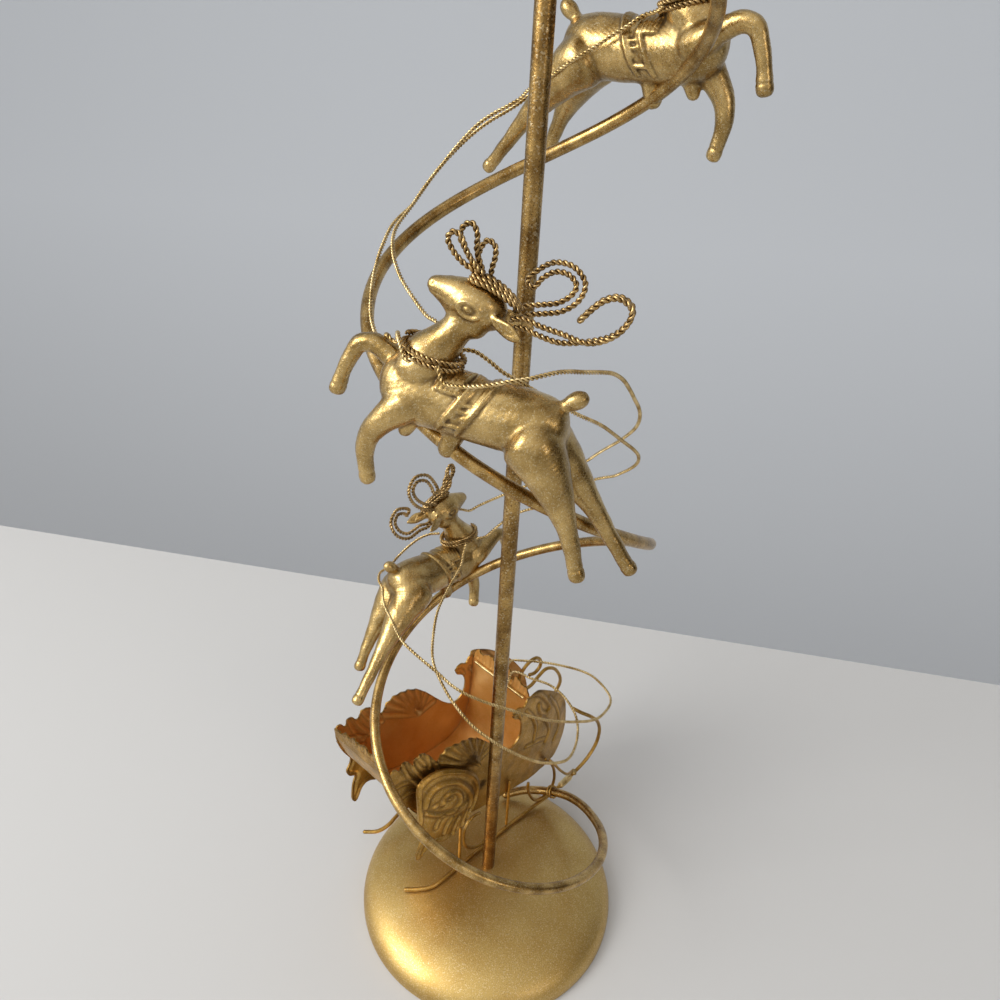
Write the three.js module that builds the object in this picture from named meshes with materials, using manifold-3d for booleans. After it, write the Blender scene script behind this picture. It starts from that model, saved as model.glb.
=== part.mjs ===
import * as THREE from "three";
import { mergeVertices } from "three/addons/utils/BufferGeometryUtils.js";
import Module from "manifold-3d";

const wasm = await Module();
wasm.setup();

// All sizes are in millimetres, with +Z up and the rod on the Z axis.

// Clearance left between two pieces that touch, and the overrun of a cut
const gap = 0.3;
const overrun = 2;

// Points of a joined solid that lie closer than this become one
const weldReach = 0.012;

// Domed base, spun from thin sheet
const baseRadius = 61.4;
const baseHeight = 18.5;
const baseEdgeHeight = 1.3;
const baseSheet = 0.9;
const baseLip = 2.4;
const domeShapeShare = 3.2;
const domeSegments = 36;

// Centre rod, with a thinner threaded spigot at each end
const rodRadius = 3;
const rodLength = 418;
const spigotRadius = 2;
const spigotSpare = 1.5;

// Nuts and washers on the spigots
const nutRadius = 4;
const nutHeight = 3.2;
const washerRadius = 6;
const washerHeight = 1;

// Spiral rod
const spiralWire = 4.3;
const spiralRadius = 53.4;
const spiralRise = 426;
const spiralSides = 7;
const spiralSteps = 96;

// Drip pan and candle cup
const panRadius = 31;
const panFlat = 13;
const panDepth = 7;
const panSheet = 0.8;
const panRim = 1.1;
const candleRadius = 11;
const candleFit = 0.35;
const cupWall = 0.9;
const cupDepth = 26;
const cupFlare = 2.2;
const turnedSegments = 26;

// Deer casting
const deerLength = 50;
const limbSides = 6;
const torsoSides = 10;
const harnessBar = 1.5;
const eyeRing = 1.3;

// Twisted wires: antlers, neck collars and reins
const antlerWire = 1.9;
const collarWire = 1.5;
const reinWire = 1.4;
const reinPitch = 5.5;
const wireSides = 5;
const strandPitch = 2.3;
const collarTurns = 2;
const collarFit = 1.1;
const neckRadius = 5;

// Sleigh: its own frame has S forwards, T to the right and Z up
const sleighLength = 116;
const sleighHeight = 104;
const sleighHalfWidth = 20;
const sleighBack = 31;
const sleighSide = 11.6;
const sleighCrossing = 64.264;
const runnerLift = 0.156;
const sleighHeading = 47;
const tubSheet = 0.7;
const panelSheet = 0.8;
const plateSheet = 1;
const plateBulge = 3.2;
const runnerWire = 2;
const legWire = 1.5;
const scrollWire = 1.6;
const railWire = 1.6;
const frontCurl = 5;
const ferruleWall = 0.7;
const bindingWire = 1;
const bindingTurns = 2;
const rearTwist = 7;

// Shape tables, as shares of the sizes that they follow

const outerRingShares = [0.3, 0.55, 0.72, 0.84, 0.92, 0.97];
const innerRingShares = [0.97, 0.92, 0.84, 0.72, 0.5];
const rodSegments = 14;
const spiralStepShare = 0.02;
const harnessSteps = 7;
const harnessReachShare = 0.72;
const harnessSlantShare = 0.5;
const frontBarShare = 0.135;
const rearBarShare = 0.035;
const buckleShares = [[-0.115, 0.158, 0.22, 0.02], [-0.07, 0.165, 0.24, 0.03], [0.01, 0.162, 0.25, 0.02]];
const collarStepsPerTurn = 12;
const collarTilt = 6;
const easePasses = 4;
const collarPlaceShare = 0.66;
const collarStretchShare = 1.14;
const antlerSides = 5;
const curlSteps = 12;
const loopSteps = 9;
const bundleRadiusShare = 0.046;
const bundleFlatShare = 0.6;
const frontTieAngle = 80;
const rearTieAngle = 112;
const reinSides = 5;
const easePitchShares = [0.5, 0.45];
const dashLeanShare = 0.12;
const rearLeanShare = 0.02;
const crossingShare = 0.554;
const standShare = 0.189;
const twistAxisShare = 0.53;
const twistReachShare = 0.2;
const foldShares = [[0, 0], [0.42, 0], [0.53, 0.2], [0.63, 0.6], [0.72, 1.2]];
const plateRingShares = [0.25, 0.7, 1];
const runnerSteps = 30;
const scrollSteps = 14;
const legShares = [["rear", 0.009, 0.59], ["front", 0.29, 0.52]];
const runnerHeightShares = [[-0.13, 0.182], [0, 0.189], [0.155, 0.189], [0.284, 0.188], [0.414, 0.179]];
const ferruleShares = [0.56, 0.6, 0.64];
const braceShares = [[0.52, 0.49], [0.56, 0.427], [0.619, 0.326], [0.67, 0.26]];
const braceSteps = 8;
const bindingPlaceShare = 0.099;
const bindingPitchShare = 0.0045;
const bindingStepsPerTurn = 10;
const railHeightShare = 0.955;
const leftRailShare = 0.1;
const rightRailShare = 0.36;
const spiralShares = [
  [0.0194, 0.7772, 0.0433], [0.0333, 0.8277, 0.043], [0.05, 0.8745, 0.0467],
  [0.0833, 0.9551, 0.0502], [0.1167, 0.9925, 0.061], [0.1472, 1.0056, 0.0714],
  [0.2056, 1.0019, 0.0897], [0.2639, 0.9987, 0.1127], [0.3333, 0.9968, 0.1384],
  [0.4028, 0.9945, 0.1638], [0.4722, 0.9918, 0.1892], [0.5417, 0.9887, 0.2146],
  [0.6111, 0.9852, 0.24], [0.6806, 0.9813, 0.2656], [0.75, 0.9771, 0.2916],
  [0.8194, 0.9726, 0.3179], [0.8889, 0.9679, 0.3447], [0.9583, 0.9633, 0.372],
  [1.0278, 0.959, 0.4001], [1.0972, 0.9551, 0.429], [1.1667, 0.9519, 0.4588],
  [1.2361, 0.9492, 0.4892], [1.3056, 0.9467, 0.5198], [1.375, 0.9443, 0.5502],
  [1.4444, 0.9415, 0.5798], [1.5139, 0.9381, 0.6083], [1.5833, 0.9339, 0.6354],
  [1.6528, 0.9289, 0.6612], [1.7222, 0.9231, 0.6862], [1.7917, 0.9164, 0.7105],
  [1.8611, 0.9089, 0.7346], [1.9306, 0.9005, 0.7586], [2, 0.8912, 0.7829],
  [2.0694, 0.8811, 0.8078], [2.1389, 0.87, 0.8335], [2.2083, 0.8581, 0.8604],
  [2.3111, 0.8165, 0.8991], [2.375, 0.7491, 0.9225], [2.4389, 0.6461, 0.9448],
  [2.5, 0.515, 0.9648], [2.5556, 0.3652, 0.9812], [2.6056, 0.2285, 0.993],
  [2.6556, 0.1348, 0.9991], [2.7083, 0.103, 1.0014],
];
const torsoShares = [
  [-0.62, 0.272, 0.044, 0.044], [-0.592, 0.272, 0.124, 0.112], [-0.52, 0.278, 0.168, 0.156],
  [-0.4, 0.278, 0.184, 0.176], [-0.24, 0.26, 0.184, 0.168], [-0.08, 0.246, 0.176, 0.16],
  [0.08, 0.238, 0.178, 0.162], [0.22, 0.242, 0.18, 0.162], [0.34, 0.254, 0.164, 0.144],
  [0.42, 0.264, 0.116, 0.1], [0.456, 0.268, 0.048, 0.042],
];
const neckShares = [
  [0.3, 0, 0.26, 0.152], [0.25, 0, 0.39, 0.132], [0.18, 0, 0.52, 0.104],
  [0.112, 0, 0.632, 0.088], [0.068, 0, 0.73, 0.088], [0.052, 0, 0.78, 0.072],
];
const headShares = [
  [-0.132, 0, 0.76, 0.024], [-0.108, 0, 0.764, 0.064], [-0.044, 0, 0.778, 0.098],
  [0.032, 0, 0.796, 0.114], [0.108, 0, 0.808, 0.106], [0.188, 0, 0.818, 0.08],
  [0.26, 0, 0.822, 0.054], [0.3, 0, 0.822, 0.036], [0.316, 0, 0.822, 0.014],
];
const earShares = [
  [-0.036, 0.072, 0.764, 0.036], [-0.1, 0.104, 0.752, 0.044], [-0.172, 0.13, 0.738, 0.038],
  [-0.224, 0.144, 0.728, 0.016],
];
const leftForelegShares = [
  [0.22, 0.092, 0.24, 0.116], [0.3, 0.108, 0.14, 0.1], [0.38, 0.112, 0.03, 0.08],
  [0.432, 0.102, -0.08, 0.068], [0.426, 0.09, -0.21, 0.062], [0.396, 0.078, -0.328, 0.06],
  [0.384, 0.074, -0.368, 0.026],
];
const rightForelegShares = [
  [0.24, -0.092, 0.25, 0.112], [0.34, -0.112, 0.292, 0.092], [0.46, -0.118, 0.34, 0.07],
  [0.576, -0.116, 0.376, 0.058], [0.652, -0.114, 0.352, 0.054], [0.692, -0.112, 0.26, 0.052],
  [0.72, -0.11, 0.14, 0.052], [0.736, -0.11, 0.04, 0.052], [0.738, -0.11, 0.008, 0.028],
];
const leftHindLegShares = [
  [-0.38, 0.076, 0.26, 0.168], [-0.48, 0.092, 0.22, 0.168], [-0.6, 0.112, 0.1, 0.132],
  [-0.72, 0.138, -0.05, 0.096], [-0.832, 0.164, -0.23, 0.072], [-0.92, 0.18, -0.388, 0.06],
  [-0.94, 0.184, -0.428, 0.032],
];
const rightHindLegShares = [
  [-0.38, -0.076, 0.26, 0.168], [-0.49, -0.092, 0.22, 0.164], [-0.64, -0.108, 0.104, 0.128],
  [-0.82, -0.126, -0.056, 0.094], [-1.01, -0.142, -0.244, 0.072], [-1.2, -0.154, -0.424, 0.06],
  [-1.236, -0.156, -0.456, 0.03],
];
const tailShares = [
  [-0.51, 0, 0.38, 0.058], [-0.568, 0, 0.448, 0.05], [-0.624, 0, 0.504, 0.046],
  [-0.652, 0, 0.532, 0.022],
];
const rearLugShares = [
  [-0.028, 0.008, 0.12, 0.068], [-0.012, 0.008, 0.02, 0.062], [0, 0.008, -0.052, 0.052],
  [0.004, 0.008, -0.076, 0.028],
];
const frontLugShares = [
  [0.212, 0.028, 0.12, 0.06], [0.24, 0.032, 0.032, 0.048], [0.256, 0.034, -0.016, 0.038],
  [0.26, 0.034, -0.032, 0.018],
];
const bundleShares = [
  [0.106, 0.003, 0.935], [0.061, 0.004, 0.934], [-0.009, 0.003, 0.929], [-0.085, 0.005, 0.905],
  [-0.15, 0.004, 0.872],
];
const leftCurlShares = [
  [-0.16, 0.024, 0.762], [-0.217, 0.05, 0.792], [-0.32, 0.07, 0.79], [-0.428, 0.09, 0.795], [-0.577, 0.12, 0.832],
  [-0.681, 0.15, 0.911], [-0.724, 0.17, 1.005], [-0.714, 0.18, 1.062], [-0.646, 0.18, 1.088],
  [-0.583, 0.18, 1.057], [-0.539, 0.18, 0.999], [-0.505, 0.18, 0.938],
];
const rightCurlShares = [
  [-0.165, -0.028, 0.792], [-0.205, -0.04, 0.835], [-0.296, -0.06, 0.871], [-0.364, -0.08, 0.9], [-0.421, -0.1, 0.963],
  [-0.428, -0.12, 1.029], [-0.362, -0.13, 1.078], [-0.272, -0.14, 1.069], [-0.209, -0.14, 1.012],
  [-0.174, -0.14, 0.948],
];
const lowerLeftCurlShares = [
  [-0.11, 0.064, 0.665], [-0.177, 0.08, 0.677], [-0.304, 0.1, 0.633], [-0.393, 0.12, 0.689],
  [-0.418, 0.14, 0.787], [-0.355, 0.15, 0.856], [-0.259, 0.16, 0.838], [-0.188, 0.16, 0.765],
];
const lowerRightCurlShares = [
  [-0.11, -0.081, 0.88], [-0.215, -0.06, 0.914], [-0.342, -0.08, 1.026], [-0.379, -0.1, 1.131],
  [-0.323, -0.11, 1.204], [-0.223, -0.12, 1.192], [-0.155, -0.12, 1.108], [-0.129, -0.12, 1.036],
];
const loopShares1 = [
  [0.058, 0.012, 0.936], [0.143, 0.032, 0.975], [0.212, 0.052, 1.021], [0.251, 0.068, 1.079],
  [0.226, 0.068, 1.116], [0.186, 0.064, 1.099], [0.151, 0.048, 1.045], [0.1, 0.03, 0.99],
  [0.02, 0.014, 0.934],
];
const loopShares2 = [
  [0.09, 0.003, 0.936], [0.162, 0.004, 1.036], [0.208, 0.004, 1.091], [0.202, 0, 1.146],
  [0.166, -0.004, 1.166], [0.131, -0.008, 1.128], [0.112, -0.012, 1.048], [0.035, -0.004, 0.932],
];
const loopShares3 = [
  [0.05, -0.014, 0.935], [0.098, -0.04, 0.99], [0.105, -0.056, 1.062], [0.08, -0.06, 1.104],
  [0.038, -0.06, 1.087], [0.022, -0.056, 1.032], [0.022, -0.044, 0.98], [-0.004, -0.012, 0.93],
];
const upperLeftReinShares = [
  [0.723, 0.693, 0.882], [0.635, 0.765, 0.877], [0.532, 0.85, 0.872], [0.431, 0.95, 0.869],
  [0.27, 1.05, 0.86], [0.064, 1.1, 0.843], [-0.118, 1.08, 0.824], [-0.37, 1.011, 0.804],
  [-0.61, 0.843, 0.775], [-0.758, 0.599, 0.749], [-0.842, 0.337, 0.738], [-0.88, 0, 0.717],
  [-0.863, -0.262, 0.7], [-0.818, -0.449, 0.689], [-0.72, -0.637, 0.684], [-0.557, -0.843, 0.68],
];
const upperRightReinShares = [
  [0.568, 0.487, 0.882], [0.487, 0.485, 0.876], [0.375, 0.51, 0.869], [0.27, 0.513, 0.861],
  [0.165, 0.565, 0.853], [0.068, 0.65, 0.844], [-0.117, 0.86, 0.827], [-0.36, 0.843, 0.809],
  [-0.591, 0.674, 0.777], [-0.73, 0.412, 0.752], [-0.798, 0.187, 0.738], [-0.779, 0, 0.728],
  [-0.71, -0.187, 0.716], [-0.599, -0.375, 0.706], [-0.498, -0.524, 0.699], [-0.418, -0.618, 0.697],
];
const middleLeftReinShares = [
  [-0.386, -1.011, 0.679], [-0.209, -1.124, 0.682],
  [-0.047, -1.161, 0.688], [0.044, -1.124, 0.689], [0.186, -1.011, 0.689], [0.29, -0.899, 0.685],
  [0.507, -0.637, 0.673], [0.668, -0.337, 0.642], [0.749, -0.112, 0.619], [0.762, 0.075, 0.598],
  [0.704, 0.262, 0.576], [0.602, 0.449, 0.553], [0.506, 0.599, 0.532], [0.243, 0.787, 0.501],
  [-0.063, 0.936, 0.47], [-0.267, 1.011, 0.45], [-0.458, 1.03, 0.431],
];
const middleRightReinShares = [
  [-0.228, -0.674, 0.684], [-0.11, -0.674, 0.673],
  [-0.001, -0.655, 0.665], [0.168, -0.599, 0.651], [0.347, -0.506, 0.636],
  [0.481, -0.375, 0.623], [0.655, -0.15, 0.599], [0.814, 0.112, 0.572], [0.838, 0.3, 0.551],
  [0.737, 0.487, 0.528], [0.578, 0.637, 0.511], [0.264, 0.824, 0.468], [0.068, 0.88, 0.454],
  [-0.066, 0.918, 0.438], [-0.251, 0.936, 0.413],
];
const lowerLeftReinShares = [
  [-0.606, 1.067, 0.409], [-0.771, 1.011, 0.404], [-0.918, 0.843, 0.395], [-0.984, 0.637, 0.392],
  [-0.977, 0.375, 0.391], [-0.928, 0.187, 0.391], [-0.841, 0, 0.392], [-0.736, -0.187, 0.388],
  [-0.589, -0.3, 0.381], [-0.439, -0.337, 0.367], [-0.325, -0.375, 0.357],
  [-0.14, -0.375, 0.344], [0.084, -0.337, 0.33], [0.321, -0.225, 0.307], [0.62, 0, 0.278],
  [0.868, 0.3, 0.25], [0.996, 0.599, 0.24], [0.954, 0.749, 0.239], [0.82, 0.861, 0.245],
  [0.542, 0.936, 0.248], [0.262, 0.955, 0.249], [0.076, 0.918, 0.251],
];
const lowerRightReinShares = [
  [-0.4, 0.749, 0.395], [-0.475, 0.524, 0.383], [-0.534, 0.337, 0.374], [-0.541, 0.075, 0.363],
  [-0.521, -0.075, 0.355], [-0.45, -0.225, 0.348], [-0.321, -0.375, 0.336],
  [-0.162, -0.487, 0.323], [0.028, -0.524, 0.308], [0.26, -0.449, 0.282], [0.471, -0.262, 0.254],
  [0.613, -0.037, 0.233], [0.684, 0.187, 0.228], [0.687, 0.375, 0.234], [0.597, 0.524, 0.244],
  [0.444, 0.637, 0.251], [0.263, 0.693, 0.253],
];
const panelShares = [
  [-0.267, 0.827], [-0.233, 0.76], [-0.181, 0.692], [-0.112, 0.596], [-0.034, 0.519],
  [0.086, 0.481], [0.207, 0.452], [0.31, 0.428], [0.414, 0.409], [0.5, 0.394],
  [0.603, 0.389], [0.672, 0.404], [0.711, 0.481], [0.716, 0.587], [0.685, 0.712],
  [0.612, 0.827], [0.534, 0.909], [0.457, 0.971], [0.397, 0.995], [0.366, 0.971],
  [0.353, 0.938], [0.323, 0.962], [0.289, 0.947], [0.293, 0.909], [0.332, 0.885],
  [0.349, 0.837], [0.345, 0.769], [0.31, 0.731], [0.267, 0.736], [0.224, 0.779],
  [0.181, 0.837], [0.129, 0.909], [0.078, 0.966], [0.017, 0.995], [-0.034, 0.995],
  [-0.069, 0.971], [-0.091, 0.923], [-0.108, 0.952], [-0.121, 0.981], [-0.151, 1.005],
  [-0.177, 0.986], [-0.19, 0.952], [-0.207, 0.99], [-0.233, 0.995], [-0.246, 0.957],
  [-0.259, 0.986], [-0.284, 0.99], [-0.293, 0.933], [-0.284, 0.875],
];
const stripShares = [
  [-0.293, 0.99], [-0.29, 0.95], [-0.28, 0.9], [-0.262, 0.84], [-0.228, 0.765],
  [-0.18, 0.673], [-0.103, 0.587], [0, 0.538], [0.121, 0.514], [0.241, 0.514],
  [0.315, 0.553], [0.362, 0.635], [0.382, 0.75], [0.388, 0.865], [0.393, 0.962],
];
const dashCrestShares = [
  [-0.49, 0.923], [-0.49, 0.99], [-0.44, 1.025], [-0.36, 1],
  [-0.24, 1.035], [-0.12, 1.015], [-0.03, 1.045], [0.018, 1.04],
  [0.026, 0.995], [0.076, 0.995], [0.086, 1.035], [0.14, 1.035],
  [0.15, 0.99], [0.216, 0.99], [0.228, 1.03], [0.34, 1],
  [0.42, 1.005], [0.49, 0.971], [0.49, 0.923],
];
const rearCrestShares = [
  [-0.49, 0.95], [-0.49, 0.97], [-0.42, 1], [-0.36, 0.985],
  [-0.28, 1.02], [-0.2, 1], [-0.1, 1.03], [0, 1.01],
  [0.1, 1.035], [0.2, 1.01], [0.3, 1.035], [0.4, 1.005],
  [0.49, 1.02], [0.49, 0.95],
];
const scrollPlateShares = [
  [-0.241, 0.865], [-0.172, 0.904], [-0.086, 0.909], [0, 0.865], [0.065, 0.788], [0.095, 0.692],
  [0.078, 0.596], [0.017, 0.534], [-0.052, 0.505], [-0.112, 0.505], [-0.155, 0.538],
  [-0.19, 0.529], [-0.228, 0.481], [-0.25, 0.505], [-0.228, 0.577], [-0.237, 0.615],
  [-0.284, 0.635], [-0.297, 0.673], [-0.259, 0.702], [-0.254, 0.769],
];
const rightRunnerShares = [
  [-0.224, 0.625, 0.167], [-0.181, 0.875, 0.175], [-0.134, 1.06, 0.182],
  [-0.069, 1.1, 0.188], [0, 1.1, 0.189], [0.155, 1.1, 0.189],
  [0.284, 1.1, 0.188], [0.414, 1.1, 0.179], [0.5, 1.1, 0.169],
  [0.56, 1.1, 0.161], [0.655, 1.1, 0.162], [0.759, 1.1, 0.177],
  [0.845, 1.1, 0.206], [0.905, 1.1, 0.269], [0.922, 1.1, 0.356],
  [0.892, 1.1, 0.452], [0.828, 1.1, 0.538], [0.775, 0.97, 0.588],
  [0.74, 0.8, 0.622],
];
const leftRunnerShares = [
  [-0.186, 1.36, 0.157], [-0.137, 1.1, 0.163], [-0.089, 1.03, 0.174],
  [-0.04, 1.06, 0.186], [0.02, 1.1, 0.189], [0.155, 1.1, 0.189],
  [0.284, 1.1, 0.188], [0.414, 1.1, 0.179], [0.5, 1.1, 0.169],
  [0.6, 1.1, 0.161], [0.7, 1.05, 0.166], [0.8, 0.95, 0.205],
  [0.89, 0.83, 0.285], [0.945, 0.72, 0.38], [0.957, 0.64, 0.46],
  [0.93, 0.6, 0.54], [0.88, 0.6, 0.615], [0.82, 0.6, 0.648],
  [0.77, 0.6, 0.63], [0.72, 0.6, 0.6], [0.66, 0.6, 0.61],
  [0.632, 0.6, 0.67], [0.64, 0.6, 0.735], [0.682, 0.6, 0.777],
  [0.735, 0.6, 0.782], [0.772, 0.6, 0.745], [0.775, 0.6, 0.7],
  [0.74, 0.6, 0.677], [0.695, 0.6, 0.69],
];
const frontScrollShares = [
  [0.517, 0.481], [0.569, 0.399], [0.6, 0.303], [0.6, 0.231], [0.573, 0.188],
  [0.526, 0.185], [0.478, 0.21], [0.435, 0.287], [0.416, 0.361], [0.416, 0.399],
];
const rearScrollShares = [
  [0.121, 0.457], [0.073, 0.466], [0.038, 0.433], [0.029, 0.365],
  [0.043, 0.294], [0.083, 0.242], [0.129, 0.217], [0.177, 0.225],
];

const deerSeats = [
  {
    name: "lower_deer",
    turns: 0.9089,
    heading: 50.1,
    pitch: -1.1,
    roll: -9.2,
    offsetShares: [0.38, -0.27, 0.93],
    leftCurl: lowerLeftCurlShares,
    rightCurl: lowerRightCurlShares,
    mergeShare: 1,
  },
  {
    name: "middle_deer",
    turns: 1.5597,
    heading: 167.9,
    pitch: 12.1,
    roll: 3.5,
    offsetShares: [-0.36, 0.09, 0.53],
    leftCurl: leftCurlShares,
    rightCurl: rightCurlShares,
    mergeShare: 0.35,
  },
  {
    name: "upper_deer",
    turns: 2.1339,
    heading: -33.9,
    pitch: 2.9,
    roll: 7.5,
    offsetShares: [0.41, -0.18, 0.57],
    leftCurl: leftCurlShares,
    rightCurl: rightCurlShares,
    mergeShare: 0.35,
  },
];

// Shapes made from rings, bars and flat outlines

const weld = 1e-4;
const circle = 2 * Math.PI;
const radians = THREE.MathUtils.degToRad;

function bareGeometry(positions, triangles) {
  const geometry = new THREE.BufferGeometry();
  geometry.setAttribute("position", new THREE.Float32BufferAttribute(positions, 3));
  geometry.setIndex(triangles);
  return geometry;
}

// Joins closed rings into one closed body, with a fan over each end ring
function loft(rings) {
  const sides = rings[0].length;
  const positions = [];
  const triangles = [];
  for (const ring of rings) {
    for (const point of ring) positions.push(point.x, point.y, point.z);
  }
  for (let i = 0; i + 1 < rings.length; i++) {
    for (let j = 0; j < sides; j++) {
      const a = i * sides + j;
      const b = i * sides + ((j + 1) % sides);
      triangles.push(a, b, a + sides, b, b + sides, a + sides);
    }
  }
  for (const end of [0, rings.length - 1]) {
    const centre = new THREE.Vector3();
    for (const point of rings[end]) centre.add(point);
    centre.divideScalar(sides);
    const hub = positions.length / 3;
    positions.push(centre.x, centre.y, centre.z);
    for (let j = 0; j < sides; j++) {
      const a = end * sides + j;
      const b = end * sides + ((j + 1) % sides);
      if (end === 0) triangles.push(b, a, hub);
      else triangles.push(a, b, hub);
    }
  }
  let volume = 0;
  const corner = (k) => new THREE.Vector3().fromArray(positions, 3 * triangles[k]);
  for (let k = 0; k < triangles.length; k += 3) {
    volume += corner(k).dot(corner(k + 1).cross(corner(k + 2)));
  }
  if (volume < 0) triangles.reverse();
  return bareGeometry(positions, triangles);
}

// A swelling bar along rows of centre and radius, given as shares of one size
function limb(rows, size, sides, flatShare = 1) {
  const centres = rows.map((row) => new THREE.Vector3(row[0], row[1], row[2]).multiplyScalar(size));
  const rings = rows.map((row, i) => {
    const ahead = centres[Math.min(i + 1, rows.length - 1)];
    const behind = centres[Math.max(i - 1, 0)];
    const along = ahead.clone().sub(behind).normalize();
    const side = new THREE.Vector3(0, 1, 0);
    side.addScaledVector(along, -along.y).normalize();
    const over = along.clone().cross(side);
    return ringOf(centres[i], side, over, row[3] * size, row[3] * size * flatShare, sides);
  });
  return loft(rings);
}

function ringOf(centre, side, over, sideRadius, overRadius, sides) {
  const ring = [];
  for (let j = 0; j < sides; j++) {
    const angle = (circle * j) / sides;
    const point = centre.clone();
    point.addScaledVector(side, sideRadius * Math.cos(angle));
    point.addScaledVector(over, overRadius * Math.sin(angle));
    ring.push(point);
  }
  return ring;
}

// A round wire along a smooth line through its points
function wire(points, diameter, sides, steps) {
  const outline = new THREE.Shape();
  for (let j = 0; j < sides; j++) {
    const angle = (circle * j) / sides;
    const x = (diameter / 2) * Math.cos(angle);
    const y = (diameter / 2) * Math.sin(angle);
    if (j === 0) outline.moveTo(x, y);
    else outline.lineTo(x, y);
  }
  outline.closePath();
  const path = new THREE.CatmullRomCurve3(points, false, "centripetal");
  return new THREE.ExtrudeGeometry(outline, { steps, bevelEnabled: false, extrudePath: path });
}

// A flat sheet with the given outline, whose points a function then carries to their places
function sheet(outlinePoints, thickness, carry) {
  const shape = new THREE.Shape(outlinePoints.map((p) => new THREE.Vector2(p[0], p[1])));
  const geometry = new THREE.ExtrudeGeometry(shape, { depth: thickness, bevelEnabled: false });
  const place = geometry.getAttribute("position");
  for (let i = 0; i < place.count; i++) {
    const point = carry(place.getX(i), place.getY(i), place.getZ(i));
    place.setXYZ(i, point.x, point.y, point.z);
  }
  return geometry;
}

function solidOf(geometry) {
  const bare = new THREE.BufferGeometry();
  bare.setAttribute("position", geometry.getAttribute("position"));
  if (geometry.index) bare.setIndex(geometry.index);
  const merged = mergeVertices(bare, weld);
  const vertProperties = new Float32Array(merged.getAttribute("position").array);
  const triVerts = new Uint32Array(merged.index.array);
  const solid = new wasm.Manifold(new wasm.Mesh({ numProp: 3, vertProperties, triVerts }));
  if (solid.volume() > 0) return solid;
  triVerts.reverse();
  return new wasm.Manifold(new wasm.Mesh({ numProp: 3, vertProperties, triVerts }));
}

// A corner that only three triangles share, one of them flat, is taken off with them, and the
// triangle below it closes the place
function cutSpike(triangles, corner) {
  const fan = triangles.filter((t) => t.includes(corner));
  if (fan.length !== 3) return;
  const [from, to] = [1, 2].map((step) => fan[0][(fan[0].indexOf(corner) + step) % 3]);
  const last = fan[1].concat(fan[2]).find((i) => i !== corner && i !== from && i !== to);
  fan[0].splice(0, 3, from, to, last);
  fan[1].splice(0, 3);
  fan[2].splice(0, 3);
}

// A triangle lower than weldReach trades its longest side with its neighbour for the other
// diagonal of the two, where that makes both of them higher
function turnSlivers(triangles, position) {
  const places = (corners) => corners.map((i) => new THREE.Vector3().fromBufferAttribute(position, i));
  const sides = ([a, b, c]) => [b.distanceTo(c), c.distanceTo(a), a.distanceTo(b)];
  const face = (corners) => new THREE.Triangle(...places(corners));
  const height = (corners) => (2 * face(corners).getArea()) / Math.max(...sides(places(corners)));
  const normal = (corners) => face(corners).getNormal(new THREE.Vector3());
  for (const thin of triangles) {
    if (thin.length === 0 || height(thin) > weldReach) continue;
    const lengths = sides(places(thin));
    const k = lengths.indexOf(Math.max(...lengths));
    const [tip, from, to] = [thin[k], thin[(k + 1) % 3], thin[(k + 2) % 3]];
    const other = triangles.find((t) => t !== thin && t.includes(from) && t.includes(to));
    const far = other.find((i) => i !== from && i !== to);
    const [first, second] = [[tip, from, far], [tip, far, to]];
    const taken = triangles.some(
      (t) => t !== thin && t !== other && t.includes(tip) && t.includes(far),
    );
    const before = Math.min(height(thin), height(other));
    const after = Math.min(height(first), height(second));
    const facing = normal(other);
    if (taken) [from, to].forEach((corner) => cutSpike(triangles, corner));
    if (taken || after <= before) continue;
    if (normal(first).dot(facing) < 0 || normal(second).dot(facing) < 0) continue;
    thin.splice(0, 3, ...first);
    other.splice(0, 3, ...second);
  }
  return triangles;
}

function geometryOf(solid) {
  const mesh = solid.getMesh();
  const rough = bareGeometry(Array.from(mesh.vertProperties), Array.from(mesh.triVerts));
  const welded = mergeVertices(rough, weldReach);
  const corners = welded.getIndex().array;
  const kept = [];
  for (let i = 0; i < corners.length; i += 3) {
    const [a, b, c] = corners.slice(i, i + 3);
    if (a !== b && b !== c && c !== a) kept.push([a, b, c]);
  }
  welded.setIndex(turnSlivers(kept, welded.getAttribute("position")).flat());
  return welded;
}

function union(geometries) {
  return geometries.map(solidOf).reduce((all, next) => all.add(next));
}

function keepLargest(solid) {
  const parts = solid.decompose();
  parts.sort((a, b) => b.volume() - a.volume());
  return parts[0];
}

function turned(profile, segments) {
  const points = profile.map((p) => new THREE.Vector2(p[0], p[1]));
  const geometry = new THREE.LatheGeometry(points, segments);
  return geometry.rotateX(Math.PI / 2);
}

// A value read smoothly from a column of a table whose first column rises
function readTable(table, column, at) {
  let i = 0;
  while (i < table.length - 2 && at > table[i + 1][0]) i++;
  const last = table.length - 1;
  const [before, from, to, after] = [Math.max(i - 1, 0), i, i + 1, Math.min(i + 2, last)];
  const width = table[to][0] - table[from][0];
  const t = (at - table[from][0]) / width;
  const slope = (a, b) => (table[b][column] - table[a][column]) / (table[b][0] - table[a][0]);
  const startSlope = before === from ? slope(from, to) : slope(before, to);
  const endSlope = after === to ? slope(from, to) : slope(from, after);
  const start = table[from][column];
  const end = table[to][column];
  const rise = end - start;
  const curveShare = t * t * (3 - 2 * t);
  return (
    start +
    rise * curveShare +
    width * (startSlope * t * (1 - t) * (1 - t) - endSlope * t * t * (1 - t))
  );
}

// The pieces

const gold = 0xb08d4c;
const paleGold = 0xc8a965;
const darkGold = 0x8c6a34;
const copper = 0xb87333;
const steel = 0x9a9a96;

const group = new THREE.Group();
group.name = "candlestick";

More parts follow.
